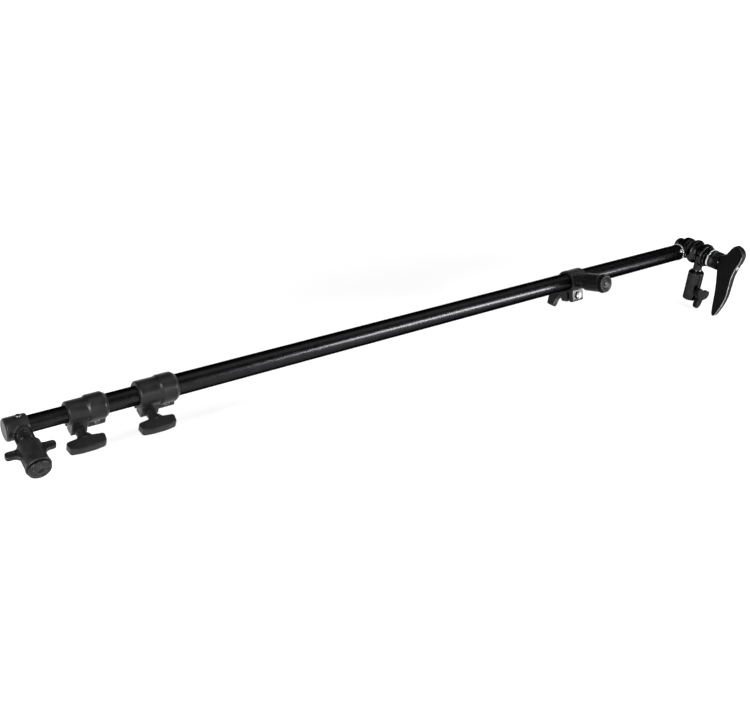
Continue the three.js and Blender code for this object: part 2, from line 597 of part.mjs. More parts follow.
/** Tubes with their glide bushes, the main tube's end ring and its rivet. */
function addTubes(arm) {
  const along = frame(new THREE.Vector3(), AXIS_X, AXIS_Z);
  const tubeSolid = (bore, radius, low, high) => {
    const profile = ringProfile(bore, radius, low, high, 0);
    return turnedSolidIn(along, profile, TUBE_SIDES);
  };
  const rivet = groupIn(rivetFrame(), arm);
  const seat = rodIn(rivetFrame(), RIVET_SHANK_RADIUS + GAP, 0, MAIN_TUBE_RADIUS + OVERRUN);
  const main = tubeSolid(MAIN_TUBE_BORE, MAIN_TUBE_RADIUS, LARGE_STEP, MAIN_TUBE_END).subtract(seat);
  arm.add(piece('main_tube', main, 'blackTube'));
  const headLow = MAIN_TUBE_RADIUS + GAP / 2;
  const headHigh = MAIN_TUBE_RADIUS + RIVET_HEAD_HEIGHT;
  const headProfile = ringProfile(0, RIVET_RADIUS, headLow, headHigh, RIVET_HEAD_HEIGHT / 3);
  const head = turnedSolid(headProfile, SMALL_SIDES);
  const shank = rodSolid(RIVET_SHANK_RADIUS, MAIN_TUBE_RADIUS - RIVET_SHANK_LENGTH, MAIN_TUBE_RADIUS + GAP);
  rivet.add(piece('knuckle_rivet', head.add(shank), 'steel'));

  const ringStart = MAIN_TUBE_END - END_RING_SETBACK;
  const ringBore = MAIN_TUBE_RADIUS + GAP / 2;
  const ringRadius = MAIN_TUBE_RADIUS + END_RING_OVERHANG;
  const ring = tubeSolid(ringBore, ringRadius, ringStart, ringStart + END_RING_WIDTH);
  arm.add(piece('tube_end_ring', ring, 'steel'));

  const middleEnd = MAIN_TUBE_END - MIDDLE_END_SETBACK;
  const innerEnd = middleEnd - INNER_END_SETBACK;
  const middle = tubeSolid(MIDDLE_TUBE_BORE, MIDDLE_TUBE_RADIUS, SMALL_STEP, middleEnd);
  const inner = tubeSolid(INNER_TUBE_BORE, INNER_TUBE_RADIUS, INNER_TUBE_START, innerEnd);
  arm.add(piece('middle_tube', middle, 'blackTube'));
  arm.add(piece('inner_tube', inner, 'blackTube'));
  addGlide(arm, 'middle_glide', middleEnd, MIDDLE_TUBE_BORE - GAP, MAIN_TUBE_BORE - GAP);
  addGlide(arm, 'inner_glide', innerEnd, INNER_TUBE_BORE - GAP, MIDDLE_TUBE_BORE - GAP);
}

/** Glide bush in the inner end of a sliding tube: a stem inside it and a head that fits the next tube. */
function addGlide(arm, name, end, stemRadius, headRadius) {
  const along = frame(new THREE.Vector3(), AXIS_X, AXIS_Z);
  const headStart = end + GAP;
  const stem = turnedSolidIn(along, ringProfile(0, stemRadius, end - GLIDE_STEM, headStart, 0), TUBE_SIDES);
  const headProfile = ringProfile(0, headRadius, headStart, headStart + GLIDE_HEAD, 0);
  const head = turnedSolidIn(along, headProfile, TUBE_SIDES);
  arm.add(piece(name, stem.add(head), 'liner'));
}

/** A rounded ear that stands off a ring along +Y, between two heights. */
function ear(back, front, reach, low, high) {
  const shape = new THREE.Shape();
  shape.moveTo(-back, 0);
  shape.lineTo(front, 0);
  shape.lineTo(front, reach - EAR_CORNER);
  shape.quadraticCurveTo(front, reach, front - EAR_CORNER, reach);
  shape.lineTo(EAR_CORNER - back, reach);
  shape.quadraticCurveTo(-back, reach, -back, reach - EAR_CORNER);
  shape.closePath();
  return toSolid(plate(shape, low, high, 0, 3));
}

/** A clamp nut: a hexagon about Z with a clear hole. */
function clampNut(low) {
  const hex = rodSolid(NUT_RADIUS, low, low + NUT_WIDTH, HEX_SIDES);
  return hex.subtract(rodSolid(BOLT_RADIUS + GAP, low - OVERRUN, low + NUT_WIDTH + OVERRUN));
}

/** Outline of a T knob's bar: X along the bar, Y along the bolt from the bar's inner side. */
function knobShape() {
  const toPoint = ([x, y]) => new THREE.Vector2(x * KNOB_HALF_LENGTH, y * KNOB_BAR_HEIGHT);
  const half = KNOB_OUTLINE_SHARES.map(toPoint);
  const other = half.map((p) => new THREE.Vector2(-p.x, p.y)).reverse();
  return new THREE.Shape([...half, ...other]);
}

/** T knob and its bolt in a frame whose Z runs along the bolt, with the ear's outer face at earFace. */
function addClampKnob(group, names, earFace, nutFace) {
  const foot = earFace + KNOB_FOOT_GAP;
  const barLow = foot + KNOB_SHANK_LENGTH - KNOB_EDGE;
  const half = KNOB_BAR_THICKNESS / 2;
  const upright = new THREE.Matrix4().makeBasis(AXIS_X, AXIS_Z, AXIS_Y.clone().negate());
  const barPlate = plate(knobShape(), -half, half, KNOB_EDGE);
  const bar = toSolid(barPlate.applyMatrix4(upright).translate(0, 0, barLow));
  const shankTop = barLow + KNOB_EDGE;
  const shank = turnedSolid([
    [0, foot], [KNOB_SHANK_RADIUS, foot], [KNOB_SHANK_TOP_RADIUS, shankTop], [0, shankTop],
  ], SMALL_SIDES);
  const boltTop = foot + KNOB_BOLT_DEPTH;
  const hole = rodSolid(BOLT_RADIUS + GAP, foot - OVERRUN, boltTop + GAP);
  group.add(piece(names.knob, bar.add(shank).subtract(hole), 'blackPlastic'));
  const boltEnd = nutFace - NUT_WIDTH - BOLT_BEYOND_NUT;
  group.add(piece(names.bolt, rodSolid(BOLT_RADIUS, boltEnd, boltTop), 'steel'));
}

/**
 * A split collar with its liner, knob, bolt, nut and fixing screw.
 * Its group's Z runs along the arm to the head, X along the bolt and Y towards the ears.
 * The step between its two parts is at Z = 0.
 */
function addCollar(arm, spec) {
  const group = groupIn(frame(new THREE.Vector3(spec.step, 0, 0), AXIS_X, outward(COLLAR_ANGLE_DEG)), arm);
  const linerBore = spec.clampTube + GAP;
  const clampBore = linerBore + LINER_WALL + GAP;
  const clampRadius = clampBore + spec.clampWall;
  const sleeveBore = spec.sleeveTube + GAP;
  const sleeveRadius = sleeveBore + spec.sleeveWall;
  const boltOffset = clampBore + BOLT_RADIUS + BOLT_INSET;
  const earReach = boltOffset + EAR_BEYOND_BOLT;
  const low = -spec.clampLength;
  const high = spec.sleeveLength;

  const outside = turnedSolid([
    [0, low], [clampRadius - COLLAR_END_EDGE, low], [clampRadius, low + COLLAR_END_EDGE], [clampRadius, 0],
    [sleeveRadius - COLLAR_STEP_EDGE, 0], [sleeveRadius, COLLAR_STEP_EDGE],
    [sleeveRadius, high - COLLAR_CHAMFER], [sleeveRadius - COLLAR_CHAMFER / 2, high], [0, high],
  ]);
  const clampEar = ear(EAR_BACK, EAR_FRONT, earReach, low + EAR_MARGIN, -EAR_SPACING / 2);
  const fixedEar = ear(FIXED_EAR_BACK, FIXED_EAR_FRONT, earReach, EAR_SPACING / 2, high - EAR_MARGIN);
  const clampHole = rodSolid(clampBore, low - OVERRUN, -COLLAR_STOP, BODY_SIDES);
  const throat = rodSolid(linerBore, -2 * COLLAR_STOP, COLLAR_STOP, BODY_SIDES);
  const sleeveHole = rodSolid(sleeveBore, -GAP, high + OVERRUN, BODY_SIDES);
  const slit = blockSolid(
    -CLAMP_SLIT / 2, CLAMP_SLIT / 2, 0, earReach + OVERRUN, low - OVERRUN, high + OVERRUN);
  const reliefReach = sleeveRadius + earReach;
  const relief = blockSolid(-reliefReach, reliefReach, 0, reliefReach, -RELIEF_SLIT / 2, RELIEF_SLIT / 2);
  const boltPlace = new THREE.Vector3(0, boltOffset, (low - EAR_SPACING / 2 + EAR_MARGIN) / 2);
  const boltFrame = frame(boltPlace, AXIS_X, AXIS_Z);
  const fixingPlace = new THREE.Vector3(0, boltOffset, (high + EAR_SPACING / 2 - EAR_MARGIN) / 2);
  const fixingFrame = frame(fixingPlace, AXIS_X, AXIS_Z);
  const nutFace = NUT_SINK - EAR_BACK;
  const boltHole = rodIn(boltFrame, BOLT_RADIUS + GAP, -EAR_BACK - OVERRUN, EAR_FRONT + OVERRUN);
  const pocketLow = nutFace - NUT_WIDTH - OVERRUN;
  const nutPocket = rodIn(boltFrame, NUT_RADIUS + GAP, pocketLow, nutFace + GAP, HEX_SIDES);
  const fixingHead = FIXED_EAR_FRONT - FIXING_HEAD_WIDTH;
  const fixingHole = rodIn(fixingFrame, FIXING_RADIUS + GAP, fixingHead - FIXING_LENGTH - GAP, fixingHead);
  const seatHigh = FIXED_EAR_FRONT + OVERRUN;
  const fixingSeat = rodIn(fixingFrame, FIXING_HEAD_RADIUS + GAP, fixingHead - GAP, seatHigh);
  const cuts = [
    clampHole, throat, sleeveHole, slit, relief, boltHole, nutPocket, fixingHole, fixingSeat,
  ];
  const body = cuts.reduce((rest, cut) => rest.subtract(cut), outside.add(clampEar).add(fixedEar));
  group.add(piece(`${spec.name}_body`, body, 'blackPlastic'));

  const linerRadius = linerBore + LINER_WALL;
  const linerRing = turnedSolid(ringProfile(linerBore, linerRadius, low + GAP, -COLLAR_STOP - GAP, 0));
  const linerSlit = blockSolid(-LINER_SLIT / 2, LINER_SLIT / 2, 0, clampRadius, low - OVERRUN, OVERRUN);
  group.add(piece(`${spec.name}_liner`, linerRing.subtract(linerSlit), 'liner'));

  const boltGroup = groupIn(boltFrame, group);
  addClampKnob(boltGroup, { knob: `${spec.name}_knob`, bolt: `${spec.name}_bolt` }, EAR_FRONT, nutFace);
  boltGroup.add(piece(`${spec.name}_nut`, clampNut(nutFace - NUT_WIDTH), 'steel'));

  const fixingGroup = groupIn(fixingFrame, group);
  const fixingShank = rodSolid(FIXING_RADIUS, fixingHead - FIXING_LENGTH, fixingHead);
  const fixingTop = rodSolid(FIXING_HEAD_RADIUS, fixingHead, FIXED_EAR_FRONT + GAP, HEX_SIDES * 2);
  fixingGroup.add(piece(`${spec.name}_fixing_screw`, fixingShank.add(fixingTop), 'steel'));
}

/** The post of a spring clip about Z: it starts at the height low and its pockets at pocketStart. */
function clipPost(low, pocketStart) {
  const stemEnd = CAP_BOSS_START - GAP;
  let post = turnedSolid([
    [0, low], [CLIP_NECK_RADIUS, low], [CLIP_NECK_RADIUS, CLIP_NECK_END - BARREL_EDGE],
    [CLIP_NECK_RADIUS - BARREL_EDGE, CLIP_NECK_END], [CLIP_STEM_RADIUS, CLIP_NECK_END],
    [CLIP_STEM_RADIUS, stemEnd], [0, stemEnd],
  ]);
  const pocket = block(
    CLIP_CORE_RADIUS, CLIP_NECK_RADIUS + OVERRUN, -CLIP_POCKET_WIDTH / 2, CLIP_POCKET_WIDTH / 2,
    pocketStart, CLIP_NECK_END + OVERRUN);
  for (let i = 0; i < CLIP_POCKET_COUNT; i += 1) {
    const turn = 2 * Math.PI * (i + 1 / 2) / CLIP_POCKET_COUNT;
    post = post.subtract(toSolid(pocket.clone().rotateZ(turn)));
  }
  const screwHole = rodSolid(CAP_SCREW_RADIUS + GAP, CAP_END - CAP_SCREW_LENGTH - GAP, CAP_END);
  return post.subtract(screwHole);
}

/** Outline of the two finger wings of a sleeve: X along the arm, Y along the post. */
function wingShape() {
  const tabRound = WING_TAB_HEIGHT / 2;
  const foot = SLEEVE_START;
  const low = foot + WING_TAB_RISE;
  const high = low + WING_TAB_HEIGHT;
  const root = foot + WING_ROOT_HEIGHT;
  const shape = new THREE.Shape();
  shape.moveTo(WING_ROOT_HALF_SPAN, foot);
  shape.quadraticCurveTo(WING_ROOT_HALF_SPAN, low, WING_WAIST_HALF_SPAN, low);
  shape.lineTo(WING_HALF_SPAN - tabRound, low);
  shape.absarc(WING_HALF_SPAN - tabRound, low + tabRound, tabRound, -Math.PI / 2, Math.PI / 2, false);
  shape.lineTo(WING_WAIST_HALF_SPAN, high);
  shape.quadraticCurveTo(WING_ROOT_HALF_SPAN, high, WING_ROOT_HALF_SPAN, root);
  shape.lineTo(-WING_ROOT_HALF_SPAN, root);
  shape.quadraticCurveTo(-WING_ROOT_HALF_SPAN, high, -WING_WAIST_HALF_SPAN, high);
  shape.lineTo(tabRound - WING_HALF_SPAN, high);
  shape.absarc(tabRound - WING_HALF_SPAN, low + tabRound, tabRound, Math.PI / 2, 3 * Math.PI / 2, false);
  shape.lineTo(-WING_WAIST_HALF_SPAN, low);
  shape.quadraticCurveTo(-WING_ROOT_HALF_SPAN, low, -WING_ROOT_HALF_SPAN, foot);
  return shape;
}

/** Sleeve, spring, end cap and cap screw of a spring clip, in a group whose Z runs along the post. */
function addClipFittings(group, prefix) {
  const rimLow = SLEEVE_END - SLEEVE_RIM_WIDTH;
  const tube = turnedSolid([
    [0, SLEEVE_START], [SLEEVE_FOOT_RADIUS, SLEEVE_START], [SLEEVE_RADIUS, rimLow - SLEEVE_EDGE],
    [SLEEVE_RIM_RADIUS, rimLow], [SLEEVE_RIM_RADIUS, SLEEVE_END - SLEEVE_EDGE],
    [SLEEVE_RIM_RADIUS - SLEEVE_EDGE, SLEEVE_END], [0, SLEEVE_END],
  ]);
  const upright = new THREE.Matrix4().makeBasis(AXIS_X, AXIS_Z, AXIS_Y.clone().negate());
  const half = WING_THICKNESS / 2;
  const wings = toSolid(plate(wingShape(), -half, half, WING_EDGE, 2).applyMatrix4(upright));
  const flangeEnd = SLEEVE_FLANGE_START + SLEEVE_FLANGE_WIDTH;
  const springRoom = rodSolid(SLEEVE_BORE_RADIUS, SLEEVE_START - OVERRUN, SLEEVE_FLANGE_START, BODY_SIDES);
  const capRoom = rodSolid(SLEEVE_BORE_RADIUS, flangeEnd, SLEEVE_END + OVERRUN, BODY_SIDES);
  const hole = rodSolid(CLIP_STEM_RADIUS + GAP, SLEEVE_FLANGE_START - OVERRUN, flangeEnd + OVERRUN);
  const sleeve = tube.add(wings).subtract(springRoom).subtract(capRoom).subtract(hole);
  group.add(piece(`${prefix}_sleeve`, sleeve, 'blackPlastic'));

  let cap = turnedSolid([
    [0, CAP_BOSS_START], [CAP_BOSS_RADIUS, CAP_BOSS_START], [CAP_BOSS_RADIUS, CAP_START],
    [CAP_RADIUS, CAP_START], [CAP_RADIUS, CAP_END - CAP_EDGE],
    [CAP_RADIUS - CAP_EDGE, CAP_END], [0, CAP_END],
  ]);
  for (let i = 0; i < CAP_LOBE_COUNT; i += 1) {
    const turn = 2 * Math.PI * (i + 1 / 2) / CAP_LOBE_COUNT;
    const reach = CAP_RADIUS + CAP_NOTCH_INSET;
    const notch = rod(CAP_NOTCH_RADIUS, CAP_START - GAP, CAP_END + OVERRUN, NOTCH_SIDES);
    notch.translate(reach * Math.cos(turn), reach * Math.sin(turn), 0);
    cap = cap.subtract(toSolid(notch));
  }
  const headLow = CAP_END - CAP_SCREW_HEAD_WIDTH;
  cap = cap.subtract(rodSolid(CAP_SCREW_RADIUS + GAP, CAP_BOSS_START - OVERRUN, CAP_END));
  cap = cap.subtract(rodSolid(CAP_SCREW_HEAD_RADIUS + GAP, headLow - GAP, CAP_END + OVERRUN));
  group.add(piece(`${prefix}_cap`, cap, 'blackPlastic'));
  const screwShank = rodSolid(CAP_SCREW_RADIUS, CAP_END - CAP_SCREW_LENGTH, headLow);
  const screwHead = rodSolid(CAP_SCREW_HEAD_RADIUS, headLow, CAP_END);
  group.add(piece(`${prefix}_cap_screw`, screwShank.add(screwHead), 'darkMetal'));
  const springLow = CLIP_NECK_END + GAP + SPRING_WIRE_RADIUS;
  const springHigh = SLEEVE_FLANGE_START - SLEEVE_TRAVEL - GAP - SPRING_WIRE_RADIUS;
  group.add(piece(`${prefix}_spring`, springSolid(springLow, springHigh), 'steel'));
}

/** A compression spring about Z as one unbroken wire between two heights, at its pressed length. */
function springSolid(low, high) {
  const steps = SPRING_TURNS * SPRING_STEPS_PER_TURN;
  const centres = [];
  for (let i = 0; i <= steps; i += 1) {
    const angle = 2 * Math.PI * i / SPRING_STEPS_PER_TURN;
    centres.push([angle, low + (high - low) * i / steps]);
  }
  const places = [];
  for (const [angle, height] of centres) {
    for (let k = 0; k < SPRING_WIRE_SIDES; k += 1) {
      const turn = 2 * Math.PI * k / SPRING_WIRE_SIDES;
      const radius = SPRING_RADIUS + SPRING_WIRE_RADIUS * Math.cos(turn);
      const level = height + SPRING_WIRE_RADIUS * Math.sin(turn);
      places.push(radius * Math.cos(angle), radius * Math.sin(angle), level);
    }
  }
  const index = [];
  for (let i = 0; i < steps; i += 1) {
    for (let k = 0; k < SPRING_WIRE_SIDES; k += 1) {
      const next = (k + 1) % SPRING_WIRE_SIDES;
      const [a, b] = [i * SPRING_WIRE_SIDES + k, i * SPRING_WIRE_SIDES + next];
      const [c, d] = [a + SPRING_WIRE_SIDES, b + SPRING_WIRE_SIDES];
      index.push(a, c, b, b, c, d);
    }
  }
  for (let k = 1; k < SPRING_WIRE_SIDES - 1; k += 1) {
    const last = steps * SPRING_WIRE_SIDES;
    index.push(0, k, k + 1);
    index.push(last, last + k + 1, last + k);
  }
  const geometry = new THREE.BufferGeometry();
  geometry.setAttribute('position', new THREE.Float32BufferAttribute(places, 3));
  geometry.setIndex(index);
  return toSolid(geometry);
}

/** End hub with its post, screw and spring clip, on the innermost tube. */
function addEndHub(arm) {
  const along = frame(new THREE.Vector3(), AXIS_X, AXIS_Z);
  const pegPlace = new THREE.Vector3(HUB_INNER_END - HUB_PEG_SETBACK, 0, 0);
  const peg = frame(pegPlace, outward(HUB_PEG_ANGLE_DEG), AXIS_X);
  const screwPlace = new THREE.Vector3(HUB_INNER_END - HUB_SCREW_SETBACK, 0, 0);
  const screw = frame(screwPlace, outward(HUB_SCREW_ANGLE_DEG), AXIS_X);
  const cup = turnedSolidIn(along, ringProfile(0, HUB_RADIUS, HUB_OUTER_END, HUB_INNER_END, HUB_EDGE));
  const boreEnd = HUB_OUTER_END + HUB_END_WALL;
  const bore = rodIn(along, INNER_TUBE_RADIUS + GAP, boreEnd, HUB_INNER_END + OVERRUN, BODY_SIDES);
  const post = toSolid(solidGeometry(clipPost(INNER_TUBE_RADIUS / 2, CLIP_POCKET_START)).applyMatrix4(peg));
  const screwHole = rodIn(screw, HUB_SCREW_RADIUS + GAP, 0, HUB_RADIUS + OVERRUN);
  const body = cup.add(post).subtract(bore).subtract(screwHole);
  arm.add(piece('end_hub', body, 'blackPlastic'));

  const screwGroup = groupIn(screw, arm);
  const shank = rodSolid(HUB_SCREW_RADIUS, HUB_RADIUS - HUB_SCREW_LENGTH + GAP, HUB_RADIUS + GAP);
  const headLow = HUB_RADIUS + GAP;
  const headHigh = headLow + HUB_SCREW_HEAD_WIDTH;
  const headProfile = ringProfile(0, HUB_SCREW_HEAD_RADIUS, headLow, headHigh, HUB_SCREW_HEAD_WIDTH / 3);
  const head = turnedSolid(headProfile, SMALL_SIDES);
  screwGroup.add(piece('hub_screw', shank.add(head), 'steel'));
  addClipFittings(groupIn(peg, arm), 'end_clip');
}

/** The three.js geometry of a solid. */
function solidGeometry(solid) {
  const mesh = solid.getMesh();
  const geometry = new THREE.BufferGeometry();
  geometry.setAttribute('position', new THREE.BufferAttribute(Float32Array.from(mesh.vertProperties), 3));
  geometry.setIndex(Array.from(mesh.triVerts));
  return geometry;
}

/** Clip that slides on the main tube: liner, split ring, ears, post, knob, bolt, nut and spring clip. */
function addSlider(arm) {
  const place = new THREE.Vector3(-SLIDER_PLACE, 0, 0);
  const clampDirection = outward(SLIDER_BOLT_ANGLE_DEG);
  const body = frame(place, AXIS_X, clampDirection);
  const group = groupIn(body, arm);
  const half = SLIDER_LENGTH / 2;
  const linerBore = MAIN_TUBE_RADIUS + GAP;
  const linerRadius = linerBore + SLIDER_LINER_WALL;
  const bodyBore = linerRadius + GAP;
  const bodyRadius = bodyBore + SLIDER_WALL;
  const boltOffset = bodyBore + BOLT_RADIUS + SLIDER_BOLT_INSET;
  const earReach = boltOffset + SLIDER_EAR_BEYOND_BOLT;
  const nutFace = NUT_SINK - EAR_BACK;
  const postLow = MAIN_TUBE_RADIUS / 2;

  const ring = turnedSolid(ringProfile(0, bodyRadius, -half, half, SLIDER_EDGE));
  // The ears stand off on the side away from the bolt frame's +Y, so the ear is turned round the bolt.
  const turnedEar = toSolid(solidGeometry(
    ear(EAR_FRONT, EAR_BACK, earReach, -SLIDER_EAR_HALF_WIDTH, SLIDER_EAR_HALF_WIDTH)).rotateZ(Math.PI));
  const peg = frame(new THREE.Vector3(), outward(SLIDER_PEG_ANGLE_DEG), AXIS_X);
  const toBody = frame(new THREE.Vector3(), AXIS_X, clampDirection).invert();
  const pegInBody = toBody.clone().multiply(peg);
  const post = toSolid(solidGeometry(clipPost(postLow, postLow)).applyMatrix4(pegInBody));
  const saddle = rodSolid(bodyRadius + GAP, -half - OVERRUN, half + OVERRUN, BODY_SIDES);
  group.add(piece('slider_post', post.subtract(saddle), 'blackPlastic'));
  const bore = rodSolid(bodyBore, -half - OVERRUN, half + OVERRUN, BODY_SIDES);
  const slit = blockSolid(
    -SLIDER_SLIT / 2, SLIDER_SLIT / 2, -earReach - OVERRUN, 0, -half - OVERRUN, half + OVERRUN);
  group.add(piece('slider_body', ring.subtract(bore).subtract(slit), 'blackPlastic'));

  const boltFrame = frame(new THREE.Vector3(0, -boltOffset, 0), AXIS_X, AXIS_Z);
  const boltHole = rodIn(boltFrame, BOLT_RADIUS + GAP, -EAR_BACK - OVERRUN, EAR_FRONT + OVERRUN);
  const pocketLow = nutFace - NUT_WIDTH - OVERRUN;
  const nutPocket = rodIn(boltFrame, NUT_RADIUS + GAP, pocketLow, nutFace + GAP, HEX_SIDES);
  const ears = [saddle, slit, boltHole, nutPocket].reduce((rest, cut) => rest.subtract(cut), turnedEar);
  const knobSide = blockSolid(0, EAR_FRONT + OVERRUN, -earReach - OVERRUN, 0, -half, half);
  const nutSide = blockSolid(-EAR_BACK - OVERRUN, 0, -earReach - OVERRUN, 0, -half, half);
  group.add(piece('slider_knob_ear', ears.intersect(knobSide), 'blackPlastic'));
  group.add(piece('slider_nut_ear', ears.intersect(nutSide), 'blackPlastic'));

  const liner = turnedSolid(ringProfile(linerBore, linerRadius, -half, half, 0));
  group.add(piece('slider_liner', liner, 'liner'));

  const knobTurn = new THREE.Matrix4().makeRotationZ(THREE.MathUtils.degToRad(SLIDER_KNOB_TURN_DEG));
  const boltGroup = groupIn(boltFrame.clone().multiply(knobTurn), group);
  addClampKnob(boltGroup, { knob: 'slider_knob', bolt: 'slider_bolt' }, EAR_FRONT, nutFace);
  groupIn(boltFrame, group).add(piece('slider_nut', clampNut(nutFace - NUT_WIDTH), 'steel'));
  addClipFittings(groupIn(frame(place, outward(SLIDER_PEG_ANGLE_DEG), AXIS_X), arm), 'slider_clip');
}

const model = new THREE.Group();
const arm = new THREE.Group();
arm.position.copy(ARM_ORIGIN);
model.add(arm);
model.add(standSocket());
addSocketKnob(model);
addHeadStack(model);
addLever(model);
addKnuckle(arm);
addTubes(arm);
addCollar(arm, {
  name: 'large_collar', step: LARGE_STEP, clampTube: MIDDLE_TUBE_RADIUS, sleeveTube: MAIN_TUBE_RADIUS,
  clampWall: LARGE_CLAMP_WALL, sleeveWall: LARGE_SLEEVE_WALL, clampLength: LARGE_CLAMP_LENGTH,
  sleeveLength: LARGE_SLEEVE_LENGTH,
});
addCollar(arm, {
  name: 'small_collar', step: SMALL_STEP, clampTube: INNER_TUBE_RADIUS, sleeveTube: MIDDLE_TUBE_RADIUS,
  clampWall: SMALL_CLAMP_WALL, sleeveWall: SMALL_SLEEVE_WALL, clampLength: SMALL_CLAMP_LENGTH,
  sleeveLength: SMALL_SLEEVE_LENGTH,
});
addEndHub(arm);
addSlider(arm);

export default model;
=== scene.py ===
"""Finished look of a telescopic reflector holder arm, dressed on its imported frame.

Lengths are millimetres in each piece's own frame and become metres when the piece is placed.
"""

import logging
import math
from dataclasses import dataclass
from enum import Enum

import bmesh
import bpy
import numpy as np
from mathutils import Matrix, Vector


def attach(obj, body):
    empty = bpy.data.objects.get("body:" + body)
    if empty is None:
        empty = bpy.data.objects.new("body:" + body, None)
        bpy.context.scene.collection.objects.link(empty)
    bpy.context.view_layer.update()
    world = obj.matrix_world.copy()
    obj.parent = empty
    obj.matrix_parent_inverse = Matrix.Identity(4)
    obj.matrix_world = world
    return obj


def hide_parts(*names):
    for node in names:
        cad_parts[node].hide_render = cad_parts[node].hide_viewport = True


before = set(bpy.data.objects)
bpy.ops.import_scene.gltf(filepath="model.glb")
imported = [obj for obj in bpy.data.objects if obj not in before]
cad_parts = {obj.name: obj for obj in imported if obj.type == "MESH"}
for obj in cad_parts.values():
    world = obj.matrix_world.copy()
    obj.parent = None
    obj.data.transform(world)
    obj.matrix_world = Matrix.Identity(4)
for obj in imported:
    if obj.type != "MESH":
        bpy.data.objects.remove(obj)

log = logging.getLogger("reflector_arm")

METRES = 0.001
GAP = 0.3
ARM_ORIGIN = Vector((0.0, 22.0, 79.5))
TOWARDS_LEVER = Vector((0.0, -1.0, 0.0))
X_AXIS = Vector((1.0, 0.0, 0.0))
Y_AXIS = Vector((0.0, 1.0, 0.0))
Z_AXIS = Vector((0.0, 0.0, 1.0))
LOCAL = "local_mm"
WEAR = "wear_and_highlight"

Point = tuple[float, float]
Shape = bmesh.types.BMesh


class Coords(Enum):
    """Where a material takes its coordinates from."""

    LOCAL = "local"
    OBJECT = "object"


@dataclass(frozen=True)
class Finish:
    """One surface finish, turned into a node material.

    Attributes:
        name: Name of the material.
        slot: Material slot that it stands for; not used.
        dark: Base colour in linear light.
        pale: Colour of the paler patches.
        worn_and_highlight_colour: Colour of rubbed edges; on the lever shell it is a painted highlight along the rim.
        wear_and_highlight: How strongly edges take that colour, from 0 to 1.
        rough: Lowest and highest roughness.
        metal: Metallic value.
        grain: Size of the surface grain in millimetres.
        depth: Height of the grain in millimetres.
        stretch: Share of the grain's frequency kept along the piece's own axis.
        turned: Height of turned lines in millimetres, or zero.
        specular: Specular level of a plastic, where 0.5 is the plain value.
        edge_tint: Brightness of a metal's reflection at a grazing angle.
    """

    name: str
    slot: str
    dark: tuple[float, float, float]
    pale: tuple[float, float, float]
    worn_and_highlight_colour: tuple[float, float, float]
    wear_and_highlight: float
    rough: tuple[float, float]
    metal: float
    grain: float
    depth: float
    stretch: float = 1.0
    turned: float = 0.0
    specular: float = 0.5
    edge_tint: float = 1.0


TUBE = Finish(
    "black_tube", "tube", (0.018, 0.018, 0.019), (0.022, 0.022, 0.023), (0.1, 0.1, 0.105), 0.3,
    (0.26, 0.3), 1.0, 0.9, 0.0004, stretch=0.02, edge_tint=0.2)
MOULDING = Finish(
    "black_moulding", "moulding", (0.004, 0.004, 0.0043), (0.007, 0.007, 0.0074), (0.05, 0.05, 0.051), 0.5,
    (0.3, 0.4), 0.0, 1.0, 0.02, specular=0.17)
# A darker, less glossy copy of the moulding with a finer grain: its darker colour is painted shade.
SMOOTH_SHADED_MOULDING = Finish(
    "smooth_shaded_moulding", "moulding", (0.0025, 0.0025, 0.0027), (0.004, 0.004, 0.0043), (0.03, 0.03, 0.031), 0.4,
    (0.28, 0.36), 0.0, 0.8, 0.008, specular=0.05)
# The lever shell's pale edge colour, mixed in fully, is a painted highlight along its crisp edges as well as wear.
LEVER_SHELL = Finish(
    "lever_shell", "lever", (0.0025, 0.0025, 0.0028), (0.004, 0.004, 0.0043), (0.2, 0.2, 0.205), 1.0,
    (0.34, 0.44), 0.0, 0.8, 0.014, specular=0.04)
DARK_METAL = Finish(
    "dark_metal", "dark_metal", (0.02, 0.02, 0.021), (0.032, 0.032, 0.033), (0.2, 0.2, 0.205), 0.5,
    (0.18, 0.26), 1.0, 0.7, 0.003, turned=0.002, edge_tint=0.4)
STEEL = Finish(
    "bright_steel", "steel", (0.52, 0.53, 0.55), (0.64, 0.65, 0.66), (0.78, 0.78, 0.78), 0.5,
    (0.2, 0.32), 1.0, 0.4, 0.003, turned=0.004)
ZINC = Finish(
    "zinc_plate", "steel", (0.11, 0.112, 0.115), (0.16, 0.163, 0.167), (0.3, 0.3, 0.3), 0.5,
    (0.4, 0.5), 1.0, 0.4, 0.003, turned=0.004)
# A pale grey finish for the bead along the lever's outer edge: a painted highlight line.
PAINTED_HIGHLIGHT_EDGE = Finish(
    "painted_highlight_edge", "lever", (0.12, 0.12, 0.123), (0.26, 0.26, 0.265), (0.3, 0.3, 0.305), 0.5,
    (0.26, 0.4), 0.0, 0.6, 0.006, specular=0.4)
LINER = Finish(
    "liner", "liner", (0.01, 0.01, 0.0105), (0.015, 0.015, 0.016), (0.05, 0.05, 0.05), 0.3,
    (0.4, 0.5), 0.0, 0.6, 0.008, specular=0.2)


